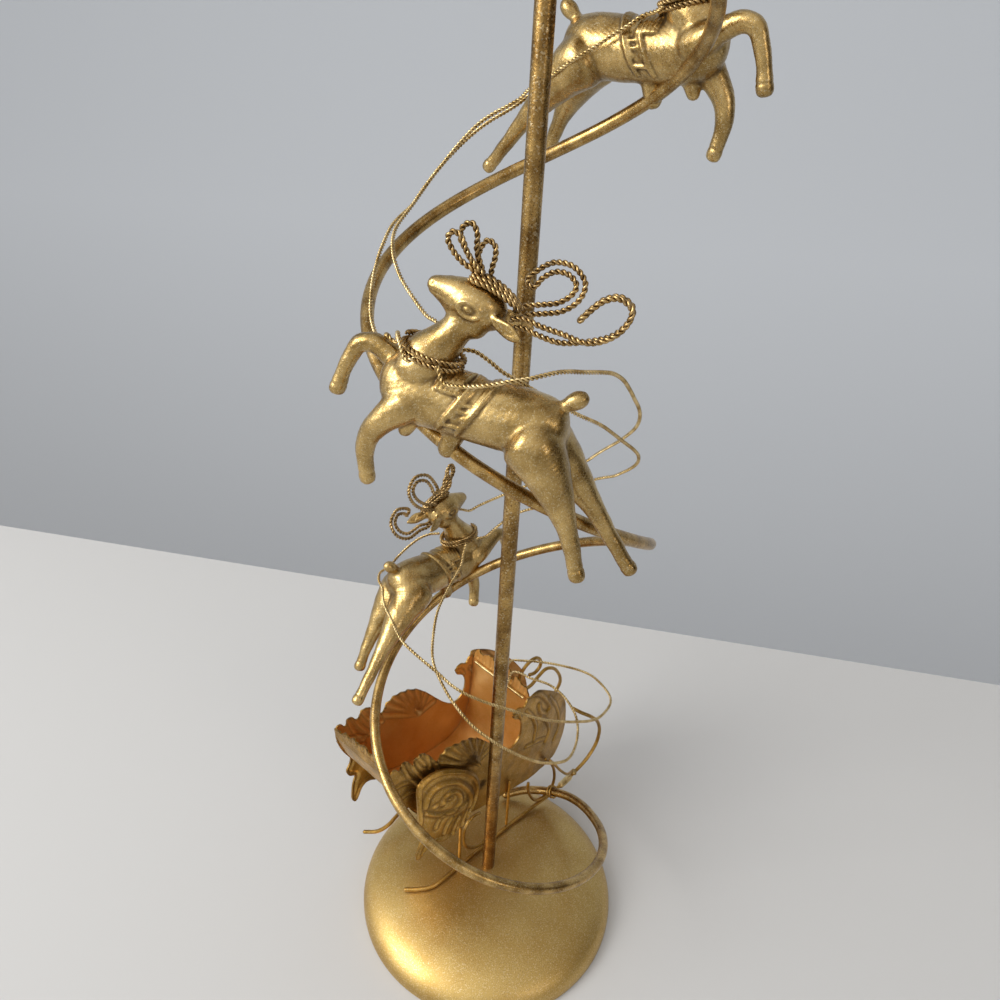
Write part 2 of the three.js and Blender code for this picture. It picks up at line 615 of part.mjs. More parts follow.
function addPiece(name, geometry, colour) {
  const look = new THREE.MeshStandardMaterial({ color: colour, metalness: 0.9, roughness: 0.45 });
  look.name = name;
  const mesh = new THREE.Mesh(geometry, look);
  mesh.name = name;
  group.add(mesh);
  return mesh;
}

// Base, rod and the fastening under the dome

const spigotHole = spigotRadius + gap;

function domeTop(radius) {
  const share = Math.min(radius / baseRadius, 1);
  const roundness = Math.sqrt(1 - Math.pow(share, domeShapeShare));
  return baseEdgeHeight + (baseHeight - baseEdgeHeight) * roundness;
}

function domeInside(radius) {
  const share = Math.min(radius / (baseRadius - baseSheet), 1);
  const roundness = Math.sqrt(1 - Math.pow(share, domeShapeShare));
  return baseEdgeHeight + (baseHeight - baseSheet - baseEdgeHeight) * roundness;
}

const baseProfile = [[spigotHole, domeInside(spigotHole)]];
baseProfile.push([spigotHole, domeTop(spigotHole)]);
for (const share of outerRingShares) {
  baseProfile.push([baseRadius * share, domeTop(baseRadius * share)]);
}
baseProfile.push([baseRadius, baseEdgeHeight]);
baseProfile.push([baseRadius, 0]);
baseProfile.push([baseRadius - baseLip, 0]);
baseProfile.push([baseRadius - baseLip, baseEdgeHeight]);
baseProfile.push([baseRadius - baseSheet, baseEdgeHeight]);
for (const share of innerRingShares) {
  const radius = (baseRadius - baseSheet) * share;
  baseProfile.push([radius, domeInside(radius)]);
}
baseProfile.push([spigotHole, domeInside(spigotHole)]);
addPiece("base_dome", turned(baseProfile.reverse(), domeSegments), gold);

function hexNut(bottom) {
  const outline = new THREE.Shape();
  for (let j = 0; j < 6; j++) {
    const angle = (circle * j) / 6;
    const x = nutRadius * Math.cos(angle);
    const y = nutRadius * Math.sin(angle);
    if (j === 0) outline.moveTo(x, y);
    else outline.lineTo(x, y);
  }
  outline.closePath();
  const hole = new THREE.Path();
  hole.absarc(0, 0, spigotHole, 0, circle, true);
  outline.holes.push(hole);
  const options = { depth: nutHeight, bevelEnabled: false, curveSegments: 16 };
  return new THREE.ExtrudeGeometry(outline, options).translate(0, 0, bottom);
}

function washer(bottom) {
  const top = bottom + washerHeight;
  const profile = [
    [spigotHole, bottom],
    [washerRadius, bottom],
    [washerRadius, top],
    [spigotHole, top],
    [spigotHole, bottom],
  ];
  return turned(profile, turnedSegments);
}

const washerBottom = domeInside(washerRadius) - gap - washerHeight;
const baseNutBottom = washerBottom - gap - nutHeight;
addPiece("base_washer", washer(washerBottom), steel);
addPiece("base_nut", hexNut(baseNutBottom), steel);

const rodBottom = baseHeight + gap;
const rodTop = rodBottom + rodLength;
const panBottom = rodTop + gap;
const cupBottom = panBottom + panSheet + gap;
const cupNutBottom = cupBottom + cupWall + gap;
const lowerEnd = baseNutBottom - spigotSpare;
const upperEnd = cupNutBottom + nutHeight + spigotSpare;
const rodProfile = [
  [0, lowerEnd],
  [spigotRadius, lowerEnd],
  [spigotRadius, rodBottom],
  [rodRadius, rodBottom],
  [rodRadius, rodTop],
  [spigotRadius, rodTop],
  [spigotRadius, upperEnd],
  [0, upperEnd],
];
addPiece("centre_rod", turned(rodProfile, rodSegments), gold);

// Drip pan and candle cup, held down by a nut inside the cup

const panTop = panBottom + panDepth;
const panProfile = [
  [spigotHole, panBottom],
  [panFlat, panBottom],
  [panFlat + (panRadius - panFlat) * 0.45, panBottom + panDepth * 0.22],
  [panFlat + (panRadius - panFlat) * 0.8, panBottom + panDepth * 0.6],
  [panRadius - panRim, panTop - panRim],
  [panRadius, panTop - panRim],
  [panRadius + panRim / 2, panTop - panRim / 2],
  [panRadius, panTop],
  [panRadius - panRim, panTop],
  [panFlat + (panRadius - panFlat) * 0.8 - panSheet / 2, panBottom + panDepth * 0.6 + panSheet],
  [panFlat + (panRadius - panFlat) * 0.45 - panSheet / 2, panBottom + panDepth * 0.22 + panSheet],
  [panFlat, panBottom + panSheet],
  [spigotHole, panBottom + panSheet],
  [spigotHole, panBottom],
];
addPiece("drip_pan", turned(panProfile, turnedSegments), gold);

const cupInside = candleRadius + candleFit;
const cupOutside = cupInside + cupWall;
const cupTop = cupBottom + cupWall + cupDepth;
const cupProfile = [
  [spigotHole, cupBottom],
  [cupOutside * 0.72, cupBottom],
  [cupOutside * 0.94, cupBottom + cupDepth * 0.07],
  [cupOutside, cupBottom + cupDepth * 0.2],
  [cupOutside, cupTop - cupFlare],
  [cupOutside + cupFlare / 2, cupTop - cupFlare / 3],
  [cupOutside + cupFlare, cupTop],
  [cupOutside + cupFlare - cupWall, cupTop + cupWall / 2],
  [cupInside + cupFlare / 3, cupTop - cupFlare / 3],
  [cupInside, cupTop - cupFlare],
  [cupInside, cupBottom + cupDepth * 0.2],
  [cupInside * 0.94, cupBottom + cupWall + cupDepth * 0.06],
  [cupInside * 0.75, cupBottom + cupWall],
  [spigotHole, cupBottom + cupWall],
  [spigotHole, cupBottom],
];
addPiece("candle_cup", turned(cupProfile, turnedSegments), gold);
addPiece("cup_nut", hexNut(cupNutBottom), steel);

// Spiral rod

function spiralPoint(turns) {
  const radius = spiralRadius * readTable(spiralShares, 1, turns);
  const height = spiralRise * readTable(spiralShares, 2, turns);
  const angle = circle * turns;
  return new THREE.Vector3(radius * Math.sin(angle), radius * Math.cos(angle), height);
}

function spiralPoints(fromTurns, toTurns) {
  const count = Math.ceil((toTurns - fromTurns) / spiralStepShare);
  const points = [];
  for (let i = 0; i <= count; i++) {
    points.push(spiralPoint(fromTurns + ((toTurns - fromTurns) * i) / count));
  }
  return points;
}

const spiralStart = spiralShares[0][0];
const spiralEnd = spiralShares[spiralShares.length - 1][0];
const spiralPath = spiralPoints(spiralStart, spiralEnd);
addPiece("spiral_rod", wire(spiralPath, spiralWire, spiralSides, spiralSteps), gold);

// Deer casting, in its own frame: X forwards, Y to its left, Z up, from the seat on the spiral

function torsoAt(x) {
  return [1, 2, 3].map((column) => deerLength * readTable(torsoShares, column, x / deerLength));
}

function torso() {
  const rings = torsoShares.map((row) => {
    const centre = new THREE.Vector3(row[0], 0, row[1]).multiplyScalar(deerLength);
    const side = new THREE.Vector3(0, 1, 0);
    const over = new THREE.Vector3(0, 0, 1);
    return ringOf(centre, side, over, row[3] * deerLength, row[2] * deerLength, torsoSides);
  });
  return loft(rings);
}

function mirrored(rows) {
  return rows.map((row) => [row[0], -row[1], ...row.slice(2)]);
}

// A raised bar of the harness, over the back from one side of the belly to the other
function harness(startShare) {
  const points = [];
  for (let i = 0; i <= harnessSteps; i++) {
    const angle = harnessReachShare * Math.PI * ((2 * i) / harnessSteps - 1);
    let x = startShare * deerLength;
    let point = new THREE.Vector3();
    for (let pass = 0; pass < 3; pass++) {
      const [middle, half, width] = torsoAt(x);
      point.set(x, width * Math.sin(angle), middle + half * Math.cos(angle));
      x = startShare * deerLength - harnessSlantShare * point.z;
    }
    points.push(point);
  }
  return wire(points, harnessBar, wireSides, harnessSteps);
}

function neckPoint(along) {
  const [x, , z, radius] = neckShares[1].map((v, i) => v + (neckShares[2][i] - v) * along);
  return { centre: new THREE.Vector3(x, 0, z).multiplyScalar(deerLength), radius: radius * deerLength };
}

function collarPoints() {
  const points = [];
  const count = collarTurns * collarStepsPerTurn;
  const tilt = radians(collarTilt);
  for (let i = 0; i <= count; i++) {
    const angle = (circle * i) / collarStepsPerTurn;
    const rise = (collarWire + gap) * (i / collarStepsPerTurn - collarTurns / 2);
    const { centre, radius } = neckPoint(collarPlaceShare);
    const reach = radius + collarFit + collarWire / 2;
    const ahead = new THREE.Vector3(Math.cos(tilt), 0, Math.sin(tilt));
    const axis = new THREE.Vector3(-Math.sin(tilt), 0, Math.cos(tilt));
    centre.addScaledVector(ahead, reach * collarStretchShare * Math.cos(angle));
    centre.addScaledVector(axis, rise);
    centre.y = reach * Math.sin(angle);
    points.push(centre);
  }
  return points;
}

// Bars of the casting that a wire must lie clear of
const easeLimbs = [
  [neckShares, collarFit + collarWire],
  [headShares, 0],
  [leftForelegShares, 0],
  [rightForelegShares, 0],
  [leftHindLegShares, 0],
  [rightHindLegShares, 0],
  [earShares, 0],
  [mirrored(earShares), 0],
];

// Moves a point in the deer's frame out of its torso and limbs
function easeOut(point, clearance) {
  for (let pass = 0; pass < easePasses; pass++) {
    const x = point.x;
    if (x > torsoShares[0][0] * deerLength && x < torsoShares.at(-1)[0] * deerLength) {
      const [middle, half, width] = torsoAt(x);
      const up = (point.z - middle) / (half + harnessBar / 2 + clearance);
      const out = point.y / (width + harnessBar / 2 + clearance);
      const depth = Math.hypot(up, out);
      if (depth < 1) {
        point.y /= depth;
        point.z = middle + (point.z - middle) / depth;
      }
    }
    for (const [rows, extra] of easeLimbs) {
      for (let i = 0; i + 1 < rows.length; i++) {
        const from = new THREE.Vector3(...rows[i]).multiplyScalar(deerLength);
        const to = new THREE.Vector3(...rows[i + 1]).multiplyScalar(deerLength);
        const share = shareAlong(point, from, to);
        const centre = from.lerp(to, share);
        const radius = deerLength * (rows[i][3] + share * (rows[i + 1][3] - rows[i][3]));
        const away = point.clone().sub(centre);
        const least = radius + extra + clearance;
        if (away.length() < least) point.copy(centre).addScaledVector(away.normalize(), least);
      }
    }
  }
  return point;
}

function shareAlong(point, from, to) {
  const along = to.clone().sub(from);
  return THREE.MathUtils.clamp(point.clone().sub(from).dot(along) / along.lengthSq(), 0, 1);
}

function castDeer() {
  const pieces = [
    torso(),
    limb(neckShares, deerLength, limbSides),
    limb(headShares, deerLength, limbSides),
    limb(earShares, deerLength, wireSides),
    limb(mirrored(earShares), deerLength, wireSides),
    limb(leftForelegShares, deerLength, limbSides),
    limb(rightForelegShares, deerLength, limbSides),
    limb(leftHindLegShares, deerLength, limbSides),
    limb(rightHindLegShares, deerLength, limbSides),
    limb(tailShares, deerLength, wireSides),
    limb(rearLugShares, deerLength, wireSides),
    limb(frontLugShares, deerLength, wireSides),
    harness(frontBarShare),
    harness(rearBarShare),
    limb(buckleShares, deerLength, wireSides),
    limb(mirrored(buckleShares), deerLength, wireSides),
  ];
  return union(pieces);
}

function deerFrame(seat) {
  const heading = radians(seat.heading);
  const pitch = radians(seat.pitch);
  const roll = radians(seat.roll);
  const forward = new THREE.Vector3(
    Math.cos(pitch) * Math.cos(heading),
    Math.cos(pitch) * Math.sin(heading),
    Math.sin(pitch),
  );
  const level = new THREE.Vector3(-Math.sin(heading), Math.cos(heading), 0);
  const over = forward.clone().cross(level);
  const left = level.clone().multiplyScalar(Math.cos(roll)).addScaledVector(over, Math.sin(roll));
  const upward = forward.clone().cross(left);
  const origin = spiralPoint(seat.turns);
  const [x, y, z] = seat.offsetShares;
  origin.add(new THREE.Vector3(x, y, z).multiplyScalar(spiralWire / 2));
  return new THREE.Matrix4().makeBasis(forward, left, upward).setPosition(origin);
}

function pointsOf(rows, size) {
  return rows.map((row) => new THREE.Vector3(row[0], row[1], row[2]).multiplyScalar(size));
}

// A wire doubled back on itself along a curl, the two strands side by side until the tip
function curl(rows, merge) {
  const clearance = strandPitch / 2 + antlerWire / 2 + gap;
  const middle = pointsOf(rows, deerLength);
  middle.slice(1).forEach((point) => easeOut(point, clearance));
  const out = [];
  const back = [];
  middle.forEach((point, i) => {
    const ahead = middle[Math.min(i + 1, middle.length - 1)];
    const behind = middle[Math.max(i - 1, 0)];
    const along = ahead.clone().sub(behind).normalize();
    const across = new THREE.Vector3(0, 1, 0).cross(along).normalize();
    const spread = i / (middle.length - 1) > merge ? 0 : 1;
    const aside = new THREE.Vector3(0, 1, 0).multiplyScalar(1 - spread).addScaledVector(across, spread);
    out.push(point.clone().addScaledVector(aside, strandPitch / 2));
    back.push(point.clone().addScaledVector(aside, -strandPitch / 2));
  });
  const points = out.concat(back.reverse());
  return wire(points, antlerWire, antlerSides, 2 * curlSteps);
}

function antlerLoops() {
  const bundle = limb(bundleShares.map((row) => [...row, bundleRadiusShare]), deerLength, limbSides, bundleFlatShare);
  const loops = [loopShares1, loopShares2, loopShares3].map((rows) =>
    wire(pointsOf(rows, deerLength), antlerWire, antlerSides, loopSteps),
  );
  return keepLargest(union([bundle, ...loops]));
}

const deerSolid = castDeer();
const spiralGroove = solidOf(wire(spiralPath, spiralWire + 2 * gap, spiralSides, spiralSteps));
const collarPath = collarPoints();
const loopsGeometry = geometryOf(antlerLoops());

for (const seat of deerSeats) seat.frame = deerFrame(seat);

for (const seat of deerSeats) {
  const frame = seat.frame;
  const body = deerSolid.transform(frame.elements).subtract(spiralGroove);
  addPiece(seat.name, geometryOf(keepLargest(body)), gold);
  const place = (geometry) => geometry.applyMatrix4(frame);
  const collarWireGeometry = wire(collarPath, collarWire, wireSides, collarTurns * collarStepsPerTurn);
  addPiece(seat.name + "_collar", place(collarWireGeometry), darkGold);
  addPiece(seat.name + "_antler_loops", loopsGeometry.clone().applyMatrix4(frame), darkGold);
  addPiece(seat.name + "_left_antler_curl", place(curl(seat.leftCurl, seat.mergeShare)), darkGold);
  addPiece(seat.name + "_right_antler_curl", place(curl(seat.rightCurl, 1)), darkGold);
}

// Reins, from collar to collar and from the lower deer to the rail on the sleigh

function easedRoute(points, clearance) {
  let route = points;
  for (const pitchShare of easePitchShares) {
    const curve = new THREE.CatmullRomCurve3(route, false, "centripetal");
    const steps = Math.ceil(curve.getLength() / (pitchShare * reinPitch));
    route = curve.getSpacedPoints(steps);
    for (const seat of deerSeats) {
      const inward = seat.frame.clone().invert();
      for (const point of route.slice(1, -1)) {
        point.applyMatrix4(inward);
        easeOut(point, clearance);
        point.applyMatrix4(seat.frame);
      }
    }
  }
  return route;
}

// The place beside a deer's collar where a rein is tied on
function tiePoint(seat, angle, side) {
  const { centre, radius } = neckPoint(collarPlaceShare);
  const reach = radius + collarFit + collarWire + gap + reinWire / 2;
  centre.x += reach * collarStretchShare * Math.cos(radians(angle));
  centre.y += side * reach * Math.sin(radians(angle));
  return centre.applyMatrix4(seat.frame);
}

function reinPoints(rows) {
  return rows.map(
    ([x, y, z]) => new THREE.Vector3(x * spiralRadius, y * spiralRadius, z * spiralRise),
  );
}

const [lowerSeat, middleSeat, upperSeat] = deerSeats;

function addRein(name, start, rows, end) {
  const points = easedRoute([...start, ...reinPoints(rows), ...end], reinWire / 2 + 2 * gap);
  const length = new THREE.CatmullRomCurve3(points, false, "centripetal").getLength();
  addPiece(name, wire(points, reinWire, reinSides, Math.ceil(length / reinPitch)), paleGold);
}

addRein(
  "upper_left_rein",
  [tiePoint(upperSeat, rearTieAngle, 1)],
  upperLeftReinShares,
  [tiePoint(middleSeat, frontTieAngle, 1)],
);
addRein(
  "upper_right_rein",
  [tiePoint(upperSeat, rearTieAngle, -1)],
  upperRightReinShares,
  [tiePoint(middleSeat, frontTieAngle, -1)],
);
addRein(
  "middle_left_rein",
  [tiePoint(middleSeat, rearTieAngle, 1)],
  middleLeftReinShares,
  [tiePoint(lowerSeat, frontTieAngle, 1)],
);
addRein(
  "middle_right_rein",
  [tiePoint(middleSeat, rearTieAngle, -1)],
  middleRightReinShares,
  [tiePoint(lowerSeat, frontTieAngle, -1)],
);

// Sleigh, in its own frame

const sleighAxis = radians(sleighHeading);
const ahead = new THREE.Vector3(Math.cos(sleighAxis), Math.sin(sleighAxis), 0);
const toRight = new THREE.Vector3(Math.sin(sleighAxis), -Math.cos(sleighAxis), 0);

// The runners stand just over the dome's top, and the spiral crosses them at a fixed place,
// whatever the sleigh's length and height
const sleighStand = baseHeight + runnerWire / 2 + runnerLift;
const aheadShift = sleighCrossing - crossingShare * sleighLength;
const upShift = sleighStand - standShare * sleighHeight;

function sleighPoint(s, t, z) {
  const point = new THREE.Vector3(-sleighBack, sleighSide, z + upShift);
  return point.addScaledVector(ahead, s + aheadShift).addScaledVector(toRight, t);
}

// The body's rear end is twisted a little to the left about its long axis
function bodyPoint(s, t, z) {
  const rear = THREE.MathUtils.clamp(-s / (twistReachShare * sleighLength), 0, 1);
  const turn = radians(rearTwist) * rear;
  const above = z - twistAxisShare * sleighHeight;
  const across = t * Math.cos(turn) - above * Math.sin(turn);
  return sleighPoint(s, across, z - above + above * Math.cos(turn) + t * Math.sin(turn));
}

function sleighOutline(rows) {
  return rows.map(([s, z]) => [s * sleighLength, z * sleighHeight]);
}

// Tub: one strip with a leaf-cut crest at each end
const stripLine = sleighOutline(stripShares).map((p) => new THREE.Vector2(p[0], p[1]));
const stripSide = (distance) =>
  stripLine.map((point, i) => {
    const next = stripLine[Math.min(i + 1, stripLine.length - 1)];
    const before = stripLine[Math.max(i - 1, 0)];
    const along = next.clone().sub(before).normalize();
    return [point.x - along.y * distance, point.y + along.x * distance];
  });
const stripOutline = [...stripSide(-tubSheet / 2), ...stripSide(tubSheet / 2).reverse()];
const stripWidth = 2 * (sleighHalfWidth - gap);
const strip = sheet(stripOutline, stripWidth, (s, z, across) =>
  bodyPoint(s, across - stripWidth / 2, z),
);

function crest(rows, endIndex, leanShare) {
  const foot = stripLine[endIndex];
  const outline = rows.map(([across, z]) => [across * stripWidth, z * sleighHeight]);
  return sheet(outline, tubSheet, (across, z, depth) => {
    const lean = (z - foot.y) * leanShare;
    return bodyPoint(foot.x + lean + depth - tubSheet / 2, across, z);
  });
}

const dashCrest = crest(dashCrestShares, stripLine.length - 1, dashLeanShare);
const rearCrest = crest(rearCrestShares, 0, rearLeanShare);
addPiece("sleigh_tub", geometryOf(union([strip, dashCrest, rearCrest])), copper);

// Side panels, whose front ends are bent inwards in steps
function panelReach(s) {
  const share = s / sleighLength;
  let inward = 0;
  for (let i = 0; i + 1 < foldShares.length; i++) {
    const part = (share - foldShares[i][0]) / (foldShares[i + 1][0] - foldShares[i][0]);
    const step = foldShares[i + 1][1] - foldShares[i][1];
    inward += step * THREE.MathUtils.clamp(part, 0, 1);
  }
  return sleighHalfWidth - frontCurl * inward;
}

// The part of an outline that lies between two values of its first coordinate
function slice(outline, from, to) {
  let points = outline;
  for (const [limit, sign] of [[from, 1], [to, -1]]) {
    const kept = [];
    points.forEach((point, i) => {
      const next = points[(i + 1) % points.length];
      const here = sign * (point[0] - limit);
      const there = sign * (next[0] - limit);
      if (here >= 0) kept.push(point);
      if (here * there < 0) {
        const share = here / (here - there);
        kept.push([limit, point[1] + share * (next[1] - point[1])]);
      }
    });
    points = kept;
  }
  return points;
}

// The outline with a point added wherever it crosses one value of its first coordinate
function withCrossings(outline, limit) {
  return outline.flatMap((point, i) => {
    const next = outline[(i + 1) % outline.length];
    const here = point[0] - limit;
    const there = next[0] - limit;
    if (here * there >= 0) return [point];
    const share = here / (here - there);
    return [point, [limit, point[1] + share * (next[1] - point[1])]];
  });
}

function bentSheet(outline, thickness, carry) {
  const reach = outline.map((point) => point[0]);
  const folds = [-twistReachShare, -twistReachShare / 2, ...foldShares.map((row) => row[0])];
  const limits = folds.map((share) => share * sleighLength);
  limits.unshift(Math.min(...reach) - overrun);
  limits[limits.length - 1] = Math.max(...reach) + overrun;
  const edge = limits.reduce(withCrossings, outline);
  if (THREE.ShapeUtils.area(edge.map((p) => new THREE.Vector2(p[0], p[1]))) < 0) edge.reverse();
  const positions = [];
  const triangle = (...points) => {
    for (const [s, z, depth] of points) positions.push(...carry(s, z, depth).toArray());
  };
  for (let i = 0; i + 1 < limits.length; i++) {
    const part = slice(edge, limits[i], limits[i + 1]);
    const contour = part.map((p) => new THREE.Vector2(p[0], p[1]));
    for (const [a, b, c] of THREE.ShapeUtils.triangulateShape(contour, [])) {
      triangle([...part[a], thickness], [...part[b], thickness], [...part[c], thickness]);
      triangle([...part[a], 0], [...part[c], 0], [...part[b], 0]);
    }
  }
  edge.forEach((point, i) => {
    const next = edge[(i + 1) % edge.length];
    triangle([...point, 0], [...next, 0], [...next, thickness]);
    triangle([...point, 0], [...next, thickness], [...point, thickness]);
  });
  const triangles = positions.map((_, i) => i).slice(0, positions.length / 3);
  return geometryOf(solidOf(bareGeometry(positions, triangles)));
}

for (const [name, side] of [["right", 1], ["left", -1]]) {
  const panel = bentSheet(sleighOutline(panelShares), panelSheet, (s, z, depth) =>
    bodyPoint(s, side * (panelReach(s) + depth), z),
  );
  addPiece("sleigh_" + name + "_panel", panel, gold);

  const plateIn = sleighHalfWidth + panelSheet + gap + legWire + gap;
  const outline = sleighOutline(scrollPlateShares);
  const middle = outline.reduce((sum, p) => [sum[0] + p[0], sum[1] + p[1]], [0, 0]);
  const centre = middle.map((v) => v / outline.length);
  const ring = (share, lift) =>
    outline.map((p) => {
      const s = centre[0] + (p[0] - centre[0]) * share;
      const z = centre[1] + (p[1] - centre[1]) * share;
      return bodyPoint(s, side * (plateIn + lift), z);
    });
  const rings = [];
  for (const share of plateRingShares) {
    rings.push(ring(share, plateBulge * (1 - share * share)));
  }
  for (const share of [...plateRingShares].reverse()) {
    rings.push(ring(share, plateSheet + plateBulge * (1 - share * share)));
  }
  addPiece("sleigh_" + name + "_scroll_plate", geometryOf(solidOf(loft(rings))), darkGold);

  const runnerShares = side > 0 ? rightRunnerShares : leftRunnerShares;
  const runner = runnerShares.map(([s, t, z]) =>
    sleighPoint(s * sleighLength, side * t * sleighHalfWidth, z * sleighHeight),
  );
  addPiece("sleigh_" + name + "_runner", wire(runner, runnerWire, wireSides, runnerSteps), gold);

  const legPlace = sleighHalfWidth + panelSheet + gap + legWire / 2;
  for (const [end, share, topShare] of legShares) {
    const foot = sleighHeight * readTable(runnerHeightShares, 1, share) + runnerWire / 2 + gap;
    const leg = [
      sleighPoint(share * sleighLength, side * legPlace, foot),
      sleighPoint(share * sleighLength, side * legPlace, (foot + topShare * sleighHeight) / 2),
      sleighPoint(share * sleighLength, side * legPlace, topShare * sleighHeight),
    ];
    addPiece("sleigh_" + name + "_" + end + "_leg", wire(leg, legWire, wireSides, 2), gold);
  }

  for (const [end, rows] of [["front", frontScrollShares], ["rear", rearScrollShares]]) {
    const points = sleighOutline(rows).map(([s, z]) => sleighPoint(s, side * legPlace, z));
    const scroll = wire(points, scrollWire, wireSides, scrollSteps);
    addPiece("sleigh_" + name + "_" + end + "_scroll", scroll, gold);
  }
}

// Ferrule on the right runner, with the brace that ends in it
const rightRunner = new THREE.CatmullRomCurve3(
  rightRunnerShares.map(([s, t, z]) =>
    sleighPoint(s * sleighLength, t * sleighHalfWidth, z * sleighHeight),
  ),
  false,
  "centripetal",
);
const ferruleCurve = new THREE.CatmullRomCurve3(
  ferruleShares.map((share) => rightRunner.getPoint(share)),
  false,
  "centripetal",
);
const ferruleOuter = runnerWire / 2 + gap + ferruleWall;
const ferruleRing = new THREE.Shape();
ferruleRing.absarc(0, 0, ferruleOuter, 0, circle, false);
const ferruleBore = new THREE.Path();
ferruleBore.absarc(0, 0, runnerWire / 2 + gap, 0, circle, true);
ferruleRing.holes.push(ferruleBore);
const ferruleOptions = { steps: 4, bevelEnabled: false, curveSegments: 5, extrudePath: ferruleCurve };
addPiece("runner_ferrule", new THREE.ExtrudeGeometry(ferruleRing, ferruleOptions), gold);

const bracePlace = sleighHalfWidth + panelSheet + 2 * gap + legWire + scrollWire;
const braceFoot = ferruleCurve.getPoint(0.5);
braceFoot.z += ferruleOuter + gap + legWire / 2;
const bracePoints = sleighOutline(braceShares).map(([s, z]) => sleighPoint(s, bracePlace, z));
addPiece("front_brace", wire([...bracePoints, braceFoot], legWire, wireSides, braceSteps), gold);

// Two turns of wire that bind the spiral down beside the right runner
const bindingPoints = [];
for (let i = 0; i <= bindingTurns * bindingStepsPerTurn; i++) {
  const turns = bindingPlaceShare + (bindingPitchShare * i) / bindingStepsPerTurn;
  const centre = spiralPoint(turns);
  const along = spiralPoint(turns + spiralStepShare).sub(spiralPoint(turns - spiralStepShare));
  const side = along.clone().cross(new THREE.Vector3(0, 0, 1)).normalize();
  const over = side.clone().cross(along).normalize();
  const angle = (circle * i) / bindingStepsPerTurn;
  const reach = spiralWire / 2 + gap + bindingWire / 2;
  centre.addScaledVector(side, reach * Math.cos(angle));
  centre.addScaledVector(over, reach * Math.sin(angle));
  bindingPoints.push(centre);
}
const bindingSteps = bindingTurns * bindingStepsPerTurn;
addPiece("runner_binding", wire(bindingPoints, bindingWire, wireSides, bindingSteps), darkGold);

// Rein rail, soldered to the rear face of the dash
const railPlace = stripLine[stripLine.length - 1].x - tubSheet / 2 - gap - railWire / 2;
const railHeight = railHeightShare * sleighHeight;
const railPoints = [-1, 0, 1].map((side) =>
  sleighPoint(railPlace, side * (sleighHalfWidth - gap - overrun), railHeight),
);
addPiece("rein_rail", wire(railPoints, railWire, wireSides, 2), paleGold);

const dashPlace = stripLine[stripLine.length - 1].x;
const overRail = railWire / 2 + gap + reinWire / 2;

// Each lower rein comes over a notch in the dash and ends on the rail
function railEnd(share) {
  const across = share * sleighHalfWidth;
  const notch = sleighHeight + 2 * (reinWire + gap);
  return [
    sleighPoint(dashPlace + overrun, across, notch),
    sleighPoint(dashPlace, across, notch),
    sleighPoint(railPlace - overRail, across, railHeight + overRail),
  ];
}

addRein(
  "lower_left_rein",
  [tiePoint(lowerSeat, rearTieAngle, 1)],
  lowerLeftReinShares,
  railEnd(leftRailShare),
);
addRein(
  "lower_right_rein",
  [tiePoint(lowerSeat, rearTieAngle, -1)],
  lowerRightReinShares,
  railEnd(rightRailShare),
);

// The model's origin is the middle of the bottom of its box

group.updateMatrixWorld(true);
const box = new THREE.Box3().setFromObject(group, true);
const middle = box.getCenter(new THREE.Vector3());
for (const mesh of group.children) {
  mesh.geometry.translate(-middle.x, -middle.y, -box.min.z);
  mesh.geometry.computeVertexNormals();
}

export default group;
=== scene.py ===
import math

import bmesh
import bpy
import numpy as np
from mathutils import Matrix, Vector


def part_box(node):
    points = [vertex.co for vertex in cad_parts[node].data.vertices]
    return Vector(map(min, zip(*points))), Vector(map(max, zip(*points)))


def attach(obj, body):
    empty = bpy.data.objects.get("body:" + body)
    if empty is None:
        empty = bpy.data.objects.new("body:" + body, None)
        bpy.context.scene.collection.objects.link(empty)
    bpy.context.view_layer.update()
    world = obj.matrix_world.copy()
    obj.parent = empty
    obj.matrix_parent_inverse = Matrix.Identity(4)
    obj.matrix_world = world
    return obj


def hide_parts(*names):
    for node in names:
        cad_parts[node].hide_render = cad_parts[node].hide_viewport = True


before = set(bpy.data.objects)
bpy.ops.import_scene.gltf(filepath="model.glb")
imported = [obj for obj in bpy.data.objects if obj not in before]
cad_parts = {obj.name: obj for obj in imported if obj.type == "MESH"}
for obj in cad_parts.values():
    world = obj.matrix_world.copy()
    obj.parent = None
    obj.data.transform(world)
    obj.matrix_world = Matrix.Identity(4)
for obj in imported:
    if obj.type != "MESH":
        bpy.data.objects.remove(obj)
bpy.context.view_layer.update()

# Lengths are millimetres about the rod's axis, with z = 0 under the base, until makeMesh puts
# them into the frame in metres.
rodLow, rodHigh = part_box("centre_rod")
rodAxis = np.array([(rodLow[0] + rodHigh[0]) / 2, (rodLow[1] + rodHigh[1]) / 2, 0.0])
fullTurn = 2 * math.pi
perMetre = 1000  # millimetres

# Camera, at the photograph's own viewpoint

viewSettings = {
    "place": (0.0, -237.4, 357.9),
    "down": 29.22,  # degrees below the horizon
    "roll": -3.26,
    "heading": -1.08,
    "focal": 0.75265,  # in widths of the picture
    "sensor": 36.0,
    "clip": (0.01, 20.0),  # nearest and farthest metres that it sees
}


# The directions to the picture's right, down and away from the camera: a level heading tipped
# down by one angle, and the other two turned about it by the roll.
def cameraAxes(settings):
    down, roll, heading = (math.radians(settings[k]) for k in ("down", "roll", "heading"))
    ahead = np.array([math.sin(heading), math.cos(heading), 0.0])
    away = ahead * math.cos(down) - np.array([0.0, 0.0, math.sin(down)])
    level = np.array([math.cos(heading), -math.sin(heading), 0.0])
    below = np.cross(away, level)
    right = level * math.cos(roll) + below * math.sin(roll)
    under = below * math.cos(roll) - level * math.sin(roll)
    return right, under, away


